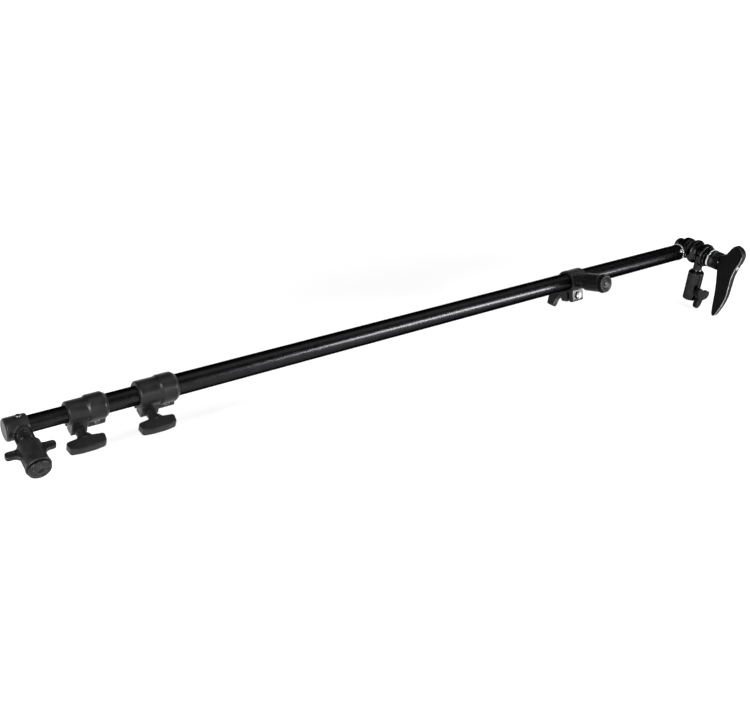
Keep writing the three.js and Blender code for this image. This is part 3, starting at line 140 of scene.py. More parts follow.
def surface_group() -> bpy.types.NodeTree:
    """Builds the shared node group that gives every finish its grain, patches and turned lines.

    Returns:
        The node group, with sockets Vector, Size, Stretch, Grain, Patches and Lines.
    """
    name = "surface detail"
    if name in bpy.data.node_groups:
        return bpy.data.node_groups[name]
    tree = bpy.data.node_groups.new(name, "ShaderNodeTree")
    tree.interface.new_socket("Vector", in_out="INPUT", socket_type="NodeSocketVector")
    for label, value in (("Size", 1.0), ("Stretch", 1.0)):
        tree.interface.new_socket(label, in_out="INPUT", socket_type="NodeSocketFloat").default_value = value
    for label in ("Grain", "Patches", "Lines"):
        tree.interface.new_socket(label, in_out="OUTPUT", socket_type="NodeSocketFloat")
    new, link = tree.nodes.new, tree.links.new
    source, result = new("NodeGroupInput"), new("NodeGroupOutput")
    weights = new("ShaderNodeCombineXYZ")
    weights.inputs["X"].default_value = 1.0
    weights.inputs["Y"].default_value = 1.0
    link(source.outputs["Stretch"], weights.inputs["Z"])
    pulled = new("ShaderNodeVectorMath")
    pulled.operation = "MULTIPLY"
    link(source.outputs["Vector"], pulled.inputs[0])
    link(weights.outputs["Vector"], pulled.inputs[1])
    density = new("ShaderNodeMath")
    density.operation = "DIVIDE"
    density.inputs[0].default_value = 1.0
    link(source.outputs["Size"], density.inputs[1])
    grain = new("ShaderNodeTexNoise")
    grain.inputs["Detail"].default_value = 3.0
    grain.inputs["Roughness"].default_value = 0.6
    link(pulled.outputs["Vector"], grain.inputs["Vector"])
    link(density.outputs["Value"], grain.inputs["Scale"])
    patches = new("ShaderNodeTexNoise")
    patches.inputs["Scale"].default_value = 0.09
    patches.inputs["Detail"].default_value = 4.0
    patches.inputs["Roughness"].default_value = 0.55
    link(source.outputs["Vector"], patches.inputs["Vector"])
    rings = new("ShaderNodeTexWave")
    rings.wave_type = "RINGS"
    rings.rings_direction = "Z"
    rings.inputs["Scale"].default_value = 0.8
    rings.inputs["Distortion"].default_value = 0.4
    bands = new("ShaderNodeTexWave")
    bands.wave_type = "BANDS"
    bands.bands_direction = "Z"
    bands.inputs["Scale"].default_value = 0.9
    bands.inputs["Distortion"].default_value = 0.3
    lines = new("ShaderNodeMath")
    lines.operation = "ADD"
    for wave, socket in ((rings, 0), (bands, 1)):
        link(source.outputs["Vector"], wave.inputs["Vector"])
        link(wave.outputs["Fac"], lines.inputs[socket])
    link(grain.outputs["Fac"], result.inputs["Grain"])
    link(patches.outputs["Fac"], result.inputs["Patches"])
    link(lines.outputs["Value"], result.inputs["Lines"])
    return tree


def material(finish: Finish, coords: Coords = Coords.LOCAL) -> bpy.types.Material:
    """Makes or finds the node material of a finish.

    Args:
        finish: The finish to build.
        coords: Whether the piece carries local coordinates or uses Object coordinates.

    Returns:
        The material.
    """
    name = f"{finish.name}_{coords.value}"
    if name in bpy.data.materials:
        return bpy.data.materials[name]
    made = bpy.data.materials.new(name)
    made.use_nodes = True
    tree = made.node_tree
    new, link = tree.nodes.new, tree.links.new
    shader = tree.nodes["Principled BSDF"]
    shader.inputs["Metallic"].default_value = finish.metal
    shader.inputs["Specular IOR Level"].default_value = finish.specular
    shader.inputs["Specular Tint"].default_value = (finish.edge_tint, finish.edge_tint, finish.edge_tint, 1.0)
    if coords is Coords.LOCAL:
        place = new("ShaderNodeAttribute")
        place.attribute_name = LOCAL
        vector = place.outputs["Vector"]
    else:
        place = new("ShaderNodeTexCoord")
        scaled = new("ShaderNodeVectorMath")
        scaled.operation = "SCALE"
        scaled.inputs["Scale"].default_value = 1.0 / METRES
        link(place.outputs["Object"], scaled.inputs[0])
        vector = scaled.outputs["Vector"]
    detail = new("ShaderNodeGroup")
    detail.node_tree = surface_group()
    detail.inputs["Size"].default_value = finish.grain
    detail.inputs["Stretch"].default_value = finish.stretch
    link(vector, detail.inputs["Vector"])

    tint = new("ShaderNodeMix")
    tint.data_type = "RGBA"
    tint.inputs[6].default_value = (*finish.dark, 1.0)
    tint.inputs[7].default_value = (*finish.pale, 1.0)
    blend = new("ShaderNodeMapRange")
    blend.inputs["From Min"].default_value = 0.35
    blend.inputs["From Max"].default_value = 0.65
    link(detail.outputs["Patches"], blend.inputs["Value"])
    link(blend.outputs["Result"], tint.inputs["Factor"])
    colour = tint.outputs[2]

    rough = new("ShaderNodeMapRange")
    rough.inputs["From Min"].default_value = 0.3
    rough.inputs["From Max"].default_value = 0.7
    rough.inputs["To Min"].default_value = finish.rough[0]
    rough.inputs["To Max"].default_value = finish.rough[1]
    link(detail.outputs["Patches"], rough.inputs["Value"])
    link(rough.outputs["Result"], shader.inputs["Roughness"])

    # Edges take the finish's edge colour: rubbed wear, and on the lever shell a painted highlight along the rim.
    if coords is Coords.LOCAL:
        edge = new("ShaderNodeAttribute")
        edge.attribute_name = WEAR
        broken = new("ShaderNodeMath")
        broken.operation = "MULTIPLY"
        link(edge.outputs["Fac"], broken.inputs[0])
        link(blend.outputs["Result"], broken.inputs[1])
        eased = new("ShaderNodeMapRange")
        eased.inputs["From Min"].default_value = 0.05
        eased.inputs["From Max"].default_value = 0.9
        eased.inputs["To Max"].default_value = finish.wear_and_highlight
        link(broken.outputs["Value"], eased.inputs["Value"])
        worn_and_highlight_mix = new("ShaderNodeMix")
        worn_and_highlight_mix.data_type = "RGBA"
        worn_and_highlight_mix.inputs[7].default_value = (*finish.worn_and_highlight_colour, 1.0)
        link(colour, worn_and_highlight_mix.inputs[6])
        link(eased.outputs["Result"], worn_and_highlight_mix.inputs["Factor"])
        colour = worn_and_highlight_mix.outputs[2]
    link(colour, shader.inputs["Base Color"])

    bump = new("ShaderNodeBump")
    bump.inputs["Strength"].default_value = 1.0
    bump.inputs["Distance"].default_value = finish.depth * METRES
    link(detail.outputs["Grain"], bump.inputs["Height"])
    normal = bump.outputs["Normal"]
    if finish.turned > 0:
        ridge = new("ShaderNodeBump")
        ridge.inputs["Strength"].default_value = 1.0
        ridge.inputs["Distance"].default_value = finish.turned * METRES
        link(detail.outputs["Lines"], ridge.inputs["Height"])
        link(normal, ridge.inputs["Normal"])
        normal = ridge.outputs["Normal"]
    link(normal, shader.inputs["Normal"])
    return made


def axes(origin: Vector, z_axis: Vector, x_axis: Vector) -> Matrix:
    """The matrix of a frame with the given origin, Z axis and X axis."""
    y_axis = z_axis.cross(x_axis)
    matrix = Matrix((x_axis, y_axis, z_axis)).transposed().to_4x4()
    matrix.translation = origin
    return matrix


def outward(degrees: float) -> Vector:
    """The direction square to the arm, at an angle above the lever's side."""
    angle = math.radians(degrees)
    return Vector((0.0, -math.cos(angle), math.sin(angle)))


def arm_frame(x: float, degrees: float) -> Matrix:
    """A frame on the arm: Z along the arm to the head, X out of it at the given angle."""
    return axes(ARM_ORIGIN + Vector((x, 0.0, 0.0)), X_AXIS, outward(degrees))


def post_frame(x: float, degrees: float) -> Matrix:
    """A frame on the arm: Z out of it at the given angle, X along the arm."""
    return axes(ARM_ORIGIN + Vector((x, 0.0, 0.0)), outward(degrees), X_AXIS)


def stack_frame() -> Matrix:
    """The frame of the head's stack: Z towards the lever, X along the arm, Y up."""
    return axes(ARM_ORIGIN, TOWARDS_LEVER, X_AXIS)


def softened(points: list[Point], radius: float, steps: int = 4, closed: bool = False) -> list[Point]:
    """Rounds the corners of an outline or a turned profile.

    Args:
        points: The corners. A corner with a third value uses it as its own radius.
        radius: Reach of the rounding along each side, where there is room.
        steps: Points on each rounded corner.
        closed: Whether the last corner joins the first.

    Returns:
        The points of the rounded outline.
    """
    rounded = []
    count = len(points)
    for i, corner in enumerate(points):
        here = Vector(corner[:2])
        if not closed and i in (0, count - 1):
            rounded.append(tuple(here))
            continue
        before = Vector(points[i - 1][:2])
        after = Vector(points[(i + 1) % count][:2])
        reach = corner[2] if len(corner) > 2 else radius
        first, second = before - here, after - here
        reach = min(reach, 0.45 * first.length, 0.45 * second.length)
        if reach < 0.02:
            rounded.append(tuple(here))
            continue
        start, end = here + first.normalized() * reach, here + second.normalized() * reach
        for k in range(steps + 1):
            t = k / steps
            rounded.append(tuple(start * (1 - t) ** 2 + here * (2 * t * (1 - t)) + end * t ** 2))
    return rounded


def lathe(profile: list[Point], sides: int = 96, closed: bool = False) -> Shape:
    """Turns a profile of [radius, height] points about Z.

    Args:
        profile: The points, from axis to axis, or a loop where closed is true.
        sides: Sides of the turned form.
        closed: Whether the profile is a loop away from the axis.

    Returns:
        The closed form.
    """
    shape = bmesh.new()
    corners = [shape.verts.new((radius, 0.0, height)) for radius, height in profile]
    rim = [shape.edges.new(pair) for pair in zip(corners, corners[1:])]
    if closed:
        rim.append(shape.edges.new((corners[-1], corners[0])))
    bmesh.ops.spin(
        shape, geom=corners + rim, cent=(0, 0, 0), axis=(0, 0, 1), angle=2 * math.pi, steps=sides,
        use_merge=True)
    bmesh.ops.remove_doubles(shape, verts=shape.verts, dist=0.0005)
    bmesh.ops.recalc_face_normals(shape, faces=shape.faces)
    return shape


def ring(inner: float, outer: float, low: float, high: float, edge: float, sides: int = 96) -> Shape:
    """A turned ring with rounded edges, or a disc where inner is zero."""
    if inner > 0:
        loop = [(inner, low), (outer, low), (outer, high), (inner, high)]
        return lathe(softened(loop, edge, closed=True), sides, closed=True)
    return lathe(softened([(0, low), (outer, low), (outer, high), (0, high)], edge), sides)


def rod(radius: float, low: float, high: float, sides: int = 48) -> Shape:
    """A plain round rod about Z, mostly used to cut."""
    return lathe([(0, low), (radius, low), (radius, high), (0, high)], sides)


def box(low: Point, high: Point) -> Shape:
    """A box between two corners given as three values each."""
    shape = bmesh.new()
    size = [b - a for a, b in zip(low, high)]
    middle = [(a + b) / 2 for a, b in zip(low, high)]
    matrix = Matrix.Translation(middle) @ Matrix.Diagonal((*size, 1.0))
    bmesh.ops.create_cube(shape, size=1.0, matrix=matrix)
    return shape


def plate(outline: list[Point], low: float, high: float, edge: float, segments: int = 3) -> Shape:
    """A plate of an outline in X and Y, with rounded rims, between two heights.

    Args:
        outline: The corners in order.
        low: Height of the lower face.
        high: Height of the upper face.
        edge: Reach of the rounding, or zero for sharp rims.
        segments: Steps of the rounding.

    Returns:
        The closed plate.
    """
    shape = bmesh.new()
    face = shape.faces.new([shape.verts.new((x, y, low)) for x, y in outline])
    grown = bmesh.ops.extrude_face_region(shape, geom=[face])["geom"]
    lifted = [item for item in grown if isinstance(item, bmesh.types.BMVert)]
    bmesh.ops.translate(shape, vec=(0, 0, high - low), verts=lifted)
    bmesh.ops.recalc_face_normals(shape, faces=shape.faces)
    if edge > 0:
        rims = [e for e in shape.edges if abs(e.verts[0].co.z - e.verts[1].co.z) < 0.001]
        bmesh.ops.bevel(
            shape, geom=rims, offset=edge, offset_type="OFFSET", segments=segments, profile=0.5,
            affect="EDGES", clamp_overlap=True, material=-1)
    return shape


def hexagon(radius: float, low: float, high: float, bore: float = 0.0) -> Shape:
    """A hexagonal nut or head with turned-down corners, about Z."""
    loop = [(radius * math.cos(k * math.pi / 3), radius * math.sin(k * math.pi / 3)) for k in range(6)]
    body = plate(loop, low, high, 0.0)
    crown = [(0, low - 0.01), (radius * 0.9, low - 0.01), (radius * 1.02, low + radius * 0.09),
             (radius * 1.02, high - radius * 0.09), (radius * 0.9, high + 0.01), (0, high + 0.01)]
    cuts = [rod(bore, low - 1, high + 1)] if bore > 0 else []
    return combined([body], [lathe(crown)], cuts)


def moved(shape: Shape, matrix: Matrix) -> Shape:
    """Moves a form by a matrix and returns it."""
    bmesh.ops.transform(shape, matrix=matrix, verts=shape.verts)
    return shape


def upright(shape: Shape) -> Shape:
    """Turns a plate so that its outline's Y becomes Z."""
    return moved(shape, Matrix(((1, 0, 0, 0), (0, 0, -1, 0), (0, 1, 0, 0), (0, 0, 0, 1))))


def scratch_object(shape: Shape) -> bpy.types.Object:
    """Turns a form into a short-lived object of the scene."""
    mesh = bpy.data.meshes.new("scratch")
    shape.to_mesh(mesh)
    shape.free()
    item = bpy.data.objects.new("scratch", mesh)
    bpy.context.scene.collection.objects.link(item)
    return item


def evaluated(base: bpy.types.Object, tools: list[bpy.types.Object]) -> bpy.types.Mesh:
    """The mesh of an object with its modifiers, after which it and its tools are removed."""
    graph = bpy.context.evaluated_depsgraph_get()
    mesh = bpy.data.meshes.new_from_object(base.evaluated_get(graph))
    for item in [base, *tools]:
        old = item.data
        bpy.data.objects.remove(item)
        bpy.data.meshes.remove(old)
    return mesh


def combined(solids: list[Shape], common: list[Shape], cuts: list[Shape]) -> Shape:
    """Joins solids, keeps what they share with each common form, and cuts the rest away.

    Args:
        solids: Forms to join.
        common: Forms that the result has to lie within.
        cuts: Forms to take away.

    Returns:
        The resulting form.
    """
    mesh = with_booleans(solids, common, cuts, None, 0)
    shape = bmesh.new()
    shape.from_mesh(mesh)
    bpy.data.meshes.remove(mesh)
    return shape


def with_booleans(
    solids: list[Shape], common: list[Shape], cuts: list[Shape], voxel: float | None, relax: int
) -> bpy.types.Mesh:
    """Joins and cuts forms with modifiers, and moulds them into one skin where a voxel is given.

    Args:
        solids: Forms to join.
        common: Forms that the result has to lie within.
        cuts: Forms to take away.
        voxel: Size of the skin's quads in millimetres, or None to leave the forms as cut.
        relax: Smoothing rounds, which soften every edge.

    Returns:
        The resulting mesh.
    """
    base = scratch_object(solids[0])
    tools = []
    for kind, forms in (("UNION", solids[1:]), ("INTERSECT", common), ("DIFFERENCE", cuts)):
        for form in forms:
            tool = scratch_object(form)
            tool.hide_render = True
            step = base.modifiers.new(kind.lower(), "BOOLEAN")
            step.operation = kind
            step.solver = "EXACT"
            step.object = tool
            tools.append(tool)
    if voxel:
        skin = base.modifiers.new("skin", "REMESH")
        skin.mode = "VOXEL"
        skin.voxel_size = voxel
        skin.use_smooth_shade = True
    if relax:
        ease = base.modifiers.new("ease", "SMOOTH")
        ease.factor = 0.5
        ease.iterations = relax
    bpy.context.view_layer.update()
    return evaluated(base, tools)


def moulded(
    solids: list[Shape], cuts: list[Shape] | None = None, voxel: float = 0.42, relax: int = 3
) -> Shape:
    """One moulded skin over joined and cut forms, with soft edges and blends.

    Args:
        solids: Forms to join.
        cuts: Forms to take away.
        voxel: Size of the skin's quads in millimetres.
        relax: Smoothing rounds.

    Returns:
        The moulded form.
    """
    mesh = with_booleans(solids, [], cuts or [], voxel, relax)
    shape = bmesh.new()
    shape.from_mesh(mesh)
    bpy.data.meshes.remove(mesh)
    return shape


def mark_edges(mesh: bpy.types.Mesh) -> None:
    """Writes how strongly each point stands out as an edge, from 0 to 1, as an attribute."""
    count, links = len(mesh.vertices), len(mesh.edges)
    place = np.empty(count * 3)
    mesh.vertices.foreach_get("co", place)
    place = place.reshape(-1, 3)
    normal = np.empty(count * 3)
    mesh.vertex_normals.foreach_get("vector", normal)
    normal = normal.reshape(-1, 3)
    pairs = np.empty(links * 2, dtype=np.int64)
    mesh.edges.foreach_get("vertices", pairs)
    first, second = pairs.reshape(-1, 2).T
    span = np.linalg.norm(place[first] - place[second], axis=1)
    total, near, length = np.zeros((count, 3)), np.zeros(count), np.zeros(count)
    longest = np.full(count, 0.1)
    for a, b in ((first, second), (second, first)):
        np.maximum.at(longest, a, span)
        np.add.at(total, a, place[b])
        np.add.at(near, a, 1.0)
        np.add.at(length, a, span)
    near = np.maximum(near, 1.0)
    stands = ((place - total / near[:, None]) * normal).sum(axis=1) / np.maximum(length / near, 1e-6)
    level = np.clip((stands - 0.07) / 0.2, 0.0, 1.0)
    for _ in range(2):
        spread = np.zeros(count)
        np.add.at(spread, first, level[second])
        np.add.at(spread, second, level[first])
        level = 0.5 * level + 0.5 * spread / near
    level *= np.clip(1.2 / longest, 0.0, 1.0) ** 1.5
    mesh.attributes.new(WEAR, "FLOAT", "POINT").data.foreach_set("value", level)
    local = mesh.attributes.new(LOCAL, "FLOAT_VECTOR", "POINT")
    local.data.foreach_set("vector", place.ravel())


def settle(
    name: str, shape: Shape, matrix: Matrix, finish: Finish, body: str, *nodes: str, sharp: float = 32.0
) -> bpy.types.Object:
    """Places a finished form on a body in place of CAD nodes.

    Args:
        name: Name of the piece.
        shape: The form, in its own frame.
        matrix: Where that frame stands, in millimetres.
        finish: Its surface finish.
        body: The body that it rides on.
        nodes: The nodes that it replaces.
        sharp: Angle in degrees above which an edge is shaded as sharp.

    Returns:
        The new object.
    """
    mesh = bpy.data.meshes.new(name)
    bmesh.ops.recalc_face_normals(shape, faces=shape.faces)
    shape.to_mesh(mesh)
    shape.free()
    mark_edges(mesh)
    mesh.transform(Matrix.Diagonal((METRES, METRES, METRES, 1.0)) @ matrix)
    mesh.polygons.foreach_set("use_smooth", [True] * len(mesh.polygons))
    mesh.set_sharp_from_angle(angle=math.radians(sharp))
    item = bpy.data.objects.new(name, mesh)
    bpy.context.scene.collection.objects.link(item)
    mesh.materials.append(material(finish))
    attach(item, body)
    if nodes:
        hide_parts(*nodes)
    log.info("piece %s: %d faces on %s", name, len(mesh.polygons), body)
    return item


@dataclass
class Tubes:
    """The three telescoping tubes, the end ring and the rivet."""

    main: Point = (-949.0, -31.0)
    middle: Point = (-1032.8, -107.8)
    inner: Point = (-1117.2, -147.2)

    def build(self) -> None:
        """Makes the tubes with rounded rims and the bright trim at the head."""
        frame_on_arm = arm_frame(0.0, 0.0)
        stages = (
            ("main_tube", self.main, 12.7, "arm_body"),
            ("middle_tube", self.middle, 11.1, "middle_stage_body"),
            ("inner_tube", self.inner, 9.525, "inner_stage_body"),
        )
        for name, (low, high), radius, body in stages:
            tube = ring(radius - 1.2, radius, low, high, 0.35, sides=128)
            settle(f"{name}_look", tube, frame_on_arm, TUBE, body, name)
        band = ring(12.85, 13.5, -34.5, -31.5, 0.3, sides=128)
        settle("tube_end_ring_look", band, frame_on_arm, STEEL, "arm_body", "tube_end_ring")
        dome = softened([(0, 9.0), (1.6, 9.0), (1.6, 12.85), (3.0, 12.85), (2.6, 13.7, 0.8), (0, 13.9)], 0.1)
        settle("knuckle_rivet_look", lathe(dome, 40), post_frame(-38.0, 35.0), STEEL, "arm_body", "knuckle_rivet")


@dataclass
class Head:
    """The stand socket, its knob and the discs of the head's stack."""

    barrel: float = 12.3
    bore: float = 8.1

    def build(self) -> None:
        """Makes every piece of the head except the lever."""
        self.socket()
        self.knob()
        self.discs()
        self.knuckle()

    def socket(self) -> None:
        """The bored barrel with its neck, and the drum that turns in the stack."""
        body = lathe(softened([
            (0, 40), (self.bore, 40), (self.bore, 0.8), (self.bore + 0.8, 0), (self.barrel - 0.9, 0),
            (self.barrel, 0.9), (self.barrel, 46.8), (self.barrel - 2.8, 50), (8.2, 50.2, 0.8), (7.0, 52.6, 1.6),
            (7.0, 72), (0, 72)], 0.5))
        drum = lathe(softened([
            (4.3, 6.1), (15.6, 6.1, 1.0), (19.4, 9.2, 3.4), (19.4, 14.6, 3.4), (14.6, 18.6, 1.4), (14.6, 23.1, 1.4),
            (18.6, 26.0, 1.6), (18.6, 32.6, 1.0), (17.2, 34.1), (4.3, 34.1)], 0.4, closed=True), closed=True)
        to_world = Matrix.Identity(4)
        drum = moved(drum, axes(ARM_ORIGIN, TOWARDS_LEVER, X_AXIS))
        hole = moved(rod(3.3, 4.0, 16.0), axes(Vector((0, 0, 9.5)), TOWARDS_LEVER, X_AXIS))
        bolt_way = moved(rod(4.3, 5.0, 35.0), axes(ARM_ORIGIN, TOWARDS_LEVER, X_AXIS))
        socket = combined([body, drum], [], [hole, bolt_way])
        settle("stand_socket_look", socket, to_world, DARK_METAL, "socket_body", "stand_socket")

    def knob(self) -> None:
        """The three-lobed knob with its screw."""
        frame_of_screw = axes(Vector((0, 0, 9.5)), TOWARDS_LEVER, X_AXIS)
        outline = []
        for k in range(120):
            angle = 2 * math.pi * k / 120
            swell = ((1 + math.cos(3 * angle)) / 2) ** 0.85
            radius = 8.5 + (19.6 - 8.5) * swell
            turn = angle + math.radians(8)
            outline.append((radius * math.cos(turn), radius * math.sin(turn)))
        lobes = plate(outline, 14.4, 20.9, 2.0, 4)
        hub = lathe(softened([(0, 13.2), (6.4, 13.2), (7.4, 15.0), (0, 15.0)], 0.4))
        grip = moulded([lobes, hub], [rod(3.3, 10, 19.7)], voxel=0.34, relax=3)
        # The knob takes the darker copy of the moulding, a painted shade.
        settle("socket_knob_look", grip, frame_of_screw, SMOOTH_SHADED_MOULDING, "socket_knob_body", "socket_knob")
        profile = [(0, 8.1), (2.3, 8.1), (3.0, 8.9)]
        turns = [(3.0 if k % 2 else 2.55, 9.0 + 0.5 * k) for k in range(20)]
        settle("socket_screw_look", lathe([*profile, *turns, (2.6, 19.4), (0, 19.4)], 40), frame_of_screw,
               STEEL, "socket_knob_body", "socket_screw")

    def discs(self) -> None:
        """The rings, nut, washers and bolt along the stack."""
        stack = stack_frame()
        rings = (
            ("far_washer", 4.3, 9.6, -17.3, -13.3, 0.5, DARK_METAL),
            ("bright_ring", 4.3, 14.6, 1.9, 4.3, 0.8, STEEL),
            ("friction_disc", 4.3, 16.6, 4.6, 6.0, 0.3, LINER),
            ("thrust_collar", 4.3, 11.5, 38.6, 42.0, 0.4, DARK_METAL),
            ("steel_washer", 4.3, 15.6, 42.3, 44.9, 0.7, STEEL),
        )
        for name, inner, outer, low, high, edge, finish in rings:
            settle(f"{name}_look", ring(inner, outer, low, high, edge), stack, finish, "socket_body", name)
        settle("washer_seat_look", ring(4.3, 14.4, 44.9, 46.9, 0.4), stack, DARK_METAL, "socket_body")
        pressure = ring(4.3, 16.0, 34.7, 38.3, 0.6)
        notches = [moved(rod(1.5, 30, 40, 20), Matrix.Rotation(k * math.pi / 4, 4, "Z")
                         @ Matrix.Translation((16.6, 0, 0))) for k in range(8)]
        settle("pressure_ring_look", combined([pressure], [], notches), stack, DARK_METAL, "socket_body",
               "pressure_ring")
        nut = lathe(softened([
            (0, -26.2), (4.5, -26.2, 2.0), (9.6, -24.9, 2.5), (11.6, -21.6, 1.6), (11.6, -18.4, 0.8),
            (10.6, -17.6, 0.5), (4.3, -17.6, 0.1), (4.3, -22.5, 0.1), (0, -22.5)], 0.4))
        grooves = [moved(rod(0.9, -27, -17, 16), Matrix.Rotation(k * math.pi / 10, 4, "Z")
                         @ Matrix.Translation((12.0, 0, 0))) for k in range(20)]
        settle("far_nut_look", combined([nut], [], grooves), stack, DARK_METAL, "socket_body", "far_nut")
        shank = rod(4.0, -22.2, 55.2, 48)
        settle("clamp_bolt_look", combined([shank, hexagon(7.0, 55.2, 58.9)], [], []), stack, STEEL,
               "socket_body", "clamp_bolt")

    def knuckle(self) -> None:
        """The eye of the arm with its neck and the plug in the main tube."""
        local = axes(Vector((0, 0, 0)), TOWARDS_LEVER, X_AXIS)
        along = axes(Vector((0, 0, 0)), X_AXIS, Z_AXIS)
        eye = moved(lathe(softened([
            (0, -13), (13.0, -13), (17, -9.8, 2.6), (17, -1.4, 1.4), (14.8, 1.6, 0.8), (0, 1.6)], 0.8)), local)
        neck = moved(lathe(softened([(0, -56), (9.2, -56), (9.2, -28), (10.6, -20), (10.6, 0), (0, 0)], 1.0)), along)
        plug = moved(lathe(softened([(0, -59), (11.2, -59), (11.2, -31.3), (0, -31.3)], 0.6)), along)
        trim = box((-24, -15, -18), (18, -1.6, 18))
        hole = moved(rod(4.3, -16, 4), local)
        spare = moved(rod(19.0, -1.6, 12), local)
        neck = combined([neck], [], [trim, spare])
        seat = moved(rod(1.9, 8.4, 14), axes(Vector((-38, 0, 0)), outward(35.0), X_AXIS))
        body = moulded([eye, neck, plug], [hole, seat], voxel=0.45, relax=3)
        settle("arm_knuckle_look", body, Matrix.Translation(ARM_ORIGIN), DARK_METAL, "arm_body", "arm_knuckle")


@dataclass
class Lever:
    """The clamp lever: a turned hub and a wing of two shells."""

    start: float = 59.4
    reach: float = 37.5
    rise: float = 36.5
    drop: float = 90.0
    thickness: float = 11.0
    hub: float = 14.3

    def outline(self) -> list[Point]:
        """The wing's outline as [distance along the stack, height]."""
        shares = [
            (0.13, 0.385), (0.23, 0.46), (0.33, 0.63), (0.46, 0.87), (0.56, 0.965), (0.68, 0.965), (0.83, 0.90),
            (0.95, 0.77), (1.0, 0.58), (0.95, 0.30), (0.85, 0.02), (0.76, -0.19), (0.75, -0.37), (0.73, -0.56),
            (0.63, -0.75), (0.51, -0.89), (0.42, -0.97), (0.31, -1.0), (0.225, -0.95), (0.185, -0.80),
            (0.14, -0.52), (0.065, -0.29),
        ]
        low = (self.start, -self.hub + 1.4)
        high = (self.start, self.hub - 1.4)
        rim = [(self.start + a * self.reach, b * (self.drop if b < 0 else self.rise)) for a, b in shares]
        return [low, high, *curve_through([high, *rim, low], 6)[1:-1]]

    def thinned(self, height: float) -> float:
        """The share of the full thickness that is left at a height."""
        share = -height / self.drop if height < 0 else height / self.rise
        return 1 - (0.38 if height < 0 else 0.07) * min(share, 1.0)

    def edge(self, stack: Matrix) -> None:
        """Makes a pale bead along the outer edge of the front shell, a painted highlight line."""
        rim = [point for point in self.outline() if point[0] > self.start + 0.4 * self.reach and point[1] < 24.0]
        inset = 0.7
        path = []
        for i in range(1, len(rim) - 1):
            along = (Vector(rim[i + 1]) - Vector(rim[i - 1])).normalized()
            place = Vector(rim[i]) + inset * Vector((along.y, -along.x))
            path.append(Vector((-0.5 * self.thickness * self.thinned(place.y) + 0.15, place.y, place.x)))
        # The bead's pale colour is a painted highlight along the rim.
        settle("lever_edge_look", swept(path, 0.6), stack, PAINTED_HIGHLIGHT_EDGE, "lever_body")

    def build(self) -> None:
        """Makes the hub, the two shells and the screw."""
        stack = stack_frame()
        hub = ring(4.3, self.hub, 47.2, 59.2, 1.3)
        groove = ring(self.hub - 0.5, self.hub + 1, 50.0, 50.9, 0.1)
        pocket = rod(7.6, 55.0, 60.5)
        settle("lever_hub_look", combined([hub], [], [groove, pocket]), stack, LEVER_SHELL, "lever_body", "lever_hub")

        half = self.thickness / 2
        wing = plate(self.outline(), -half, half, 1.0, 2)
        turn = Matrix(((0, 0, -1, 0), (0, 1, 0, 0), (1, 0, 0, 0), (0, 0, 0, 1)))
        wing = moved(wing, turn)
        edge = self.start + self.reach
        channel = rod(2.3, self.start - 2, edge)
        seat = rod(3.9, edge - 8.8, edge + 3)
        solid = moulded([wing], [channel, seat], voxel=0.5, relax=2)
        for corner in solid.verts:
            corner.co.x *= self.thinned(corner.co.y)
        for name, side in (("lever_front_shell", -1.0), ("lever_rear_shell", 1.0)):
            shell = solid.copy()
            cut = bmesh.ops.bisect_plane(
                shell, geom=[*shell.verts, *shell.edges, *shell.faces], plane_co=(0.15 * side, 0, 0),
                plane_no=(-side, 0, 0), clear_outer=True)["geom_cut"]
            rim = [item for item in cut if isinstance(item, bmesh.types.BMEdge)]
            bmesh.ops.holes_fill(shell, edges=rim)
            settle(f"{name}_look", shell, stack, LEVER_SHELL, "lever_body", name)
        solid.free()
        self.edge(stack)
        head = softened([(0, 68.5), (2.0, 68.5), (2.0, 88.5), (3.6, 88.5), (3.6, 90.9, 0.7), (0, 91.5)], 0.1)
        recess = [moved(box((-2.1, -0.45, 90.3), (2.1, 0.45, 93)), Matrix.Rotation(k * math.pi / 2, 4, "Z"))
                  for k in range(2)]
        screw = combined([lathe(head, 40)], [], recess)
        settle("lever_screw_look", screw, stack, ZINC, "lever_body", "lever_screw")


def swept(path: list[Vector], radius: float) -> Shape:
    """A round bead of even thickness along a path.

    Args:
        path: Points of the bead's middle line.
        radius: Radius of the bead.

    Returns:
        The closed bead.
    """
    data = bpy.data.curves.new("bead", "CURVE")
    data.dimensions = "3D"
    data.bevel_depth = radius
    data.bevel_resolution = 3
    data.use_fill_caps = True
    spline = data.splines.new("POLY")
    spline.points.add(len(path) - 1)
    for point, place in zip(spline.points, path):
        point.co = (*place, 1.0)
    item = bpy.data.objects.new("bead", data)
    bpy.context.scene.collection.objects.link(item)
    bpy.context.view_layer.update()
    mesh = bpy.data.meshes.new_from_object(item.evaluated_get(bpy.context.evaluated_depsgraph_get()))
    bpy.data.objects.remove(item)
    bpy.data.curves.remove(data)
    shape = bmesh.new()
    shape.from_mesh(mesh)
    bpy.data.meshes.remove(mesh)
    bmesh.ops.remove_doubles(shape, verts=shape.verts, dist=0.001)
    return shape


def curve_through(points: list[Point], steps: int) -> list[Point]:
    """A smooth open curve through points, with the given steps between each pair."""
    out = []
    for i in range(len(points) - 1):
        a = Vector(points[max(i - 1, 0)])
        b = Vector(points[i])
        c = Vector(points[i + 1])
        d = Vector(points[min(i + 2, len(points) - 1)])
        for k in range(steps):
            t = k / steps
            out.append(tuple(0.5 * (
                2 * b + (c - a) * t + (2 * a - 5 * b + 4 * c - d) * t ** 2 + (3 * b - a - 3 * c + d) * t ** 3)))
    out.append(tuple(points[-1]))
    return out


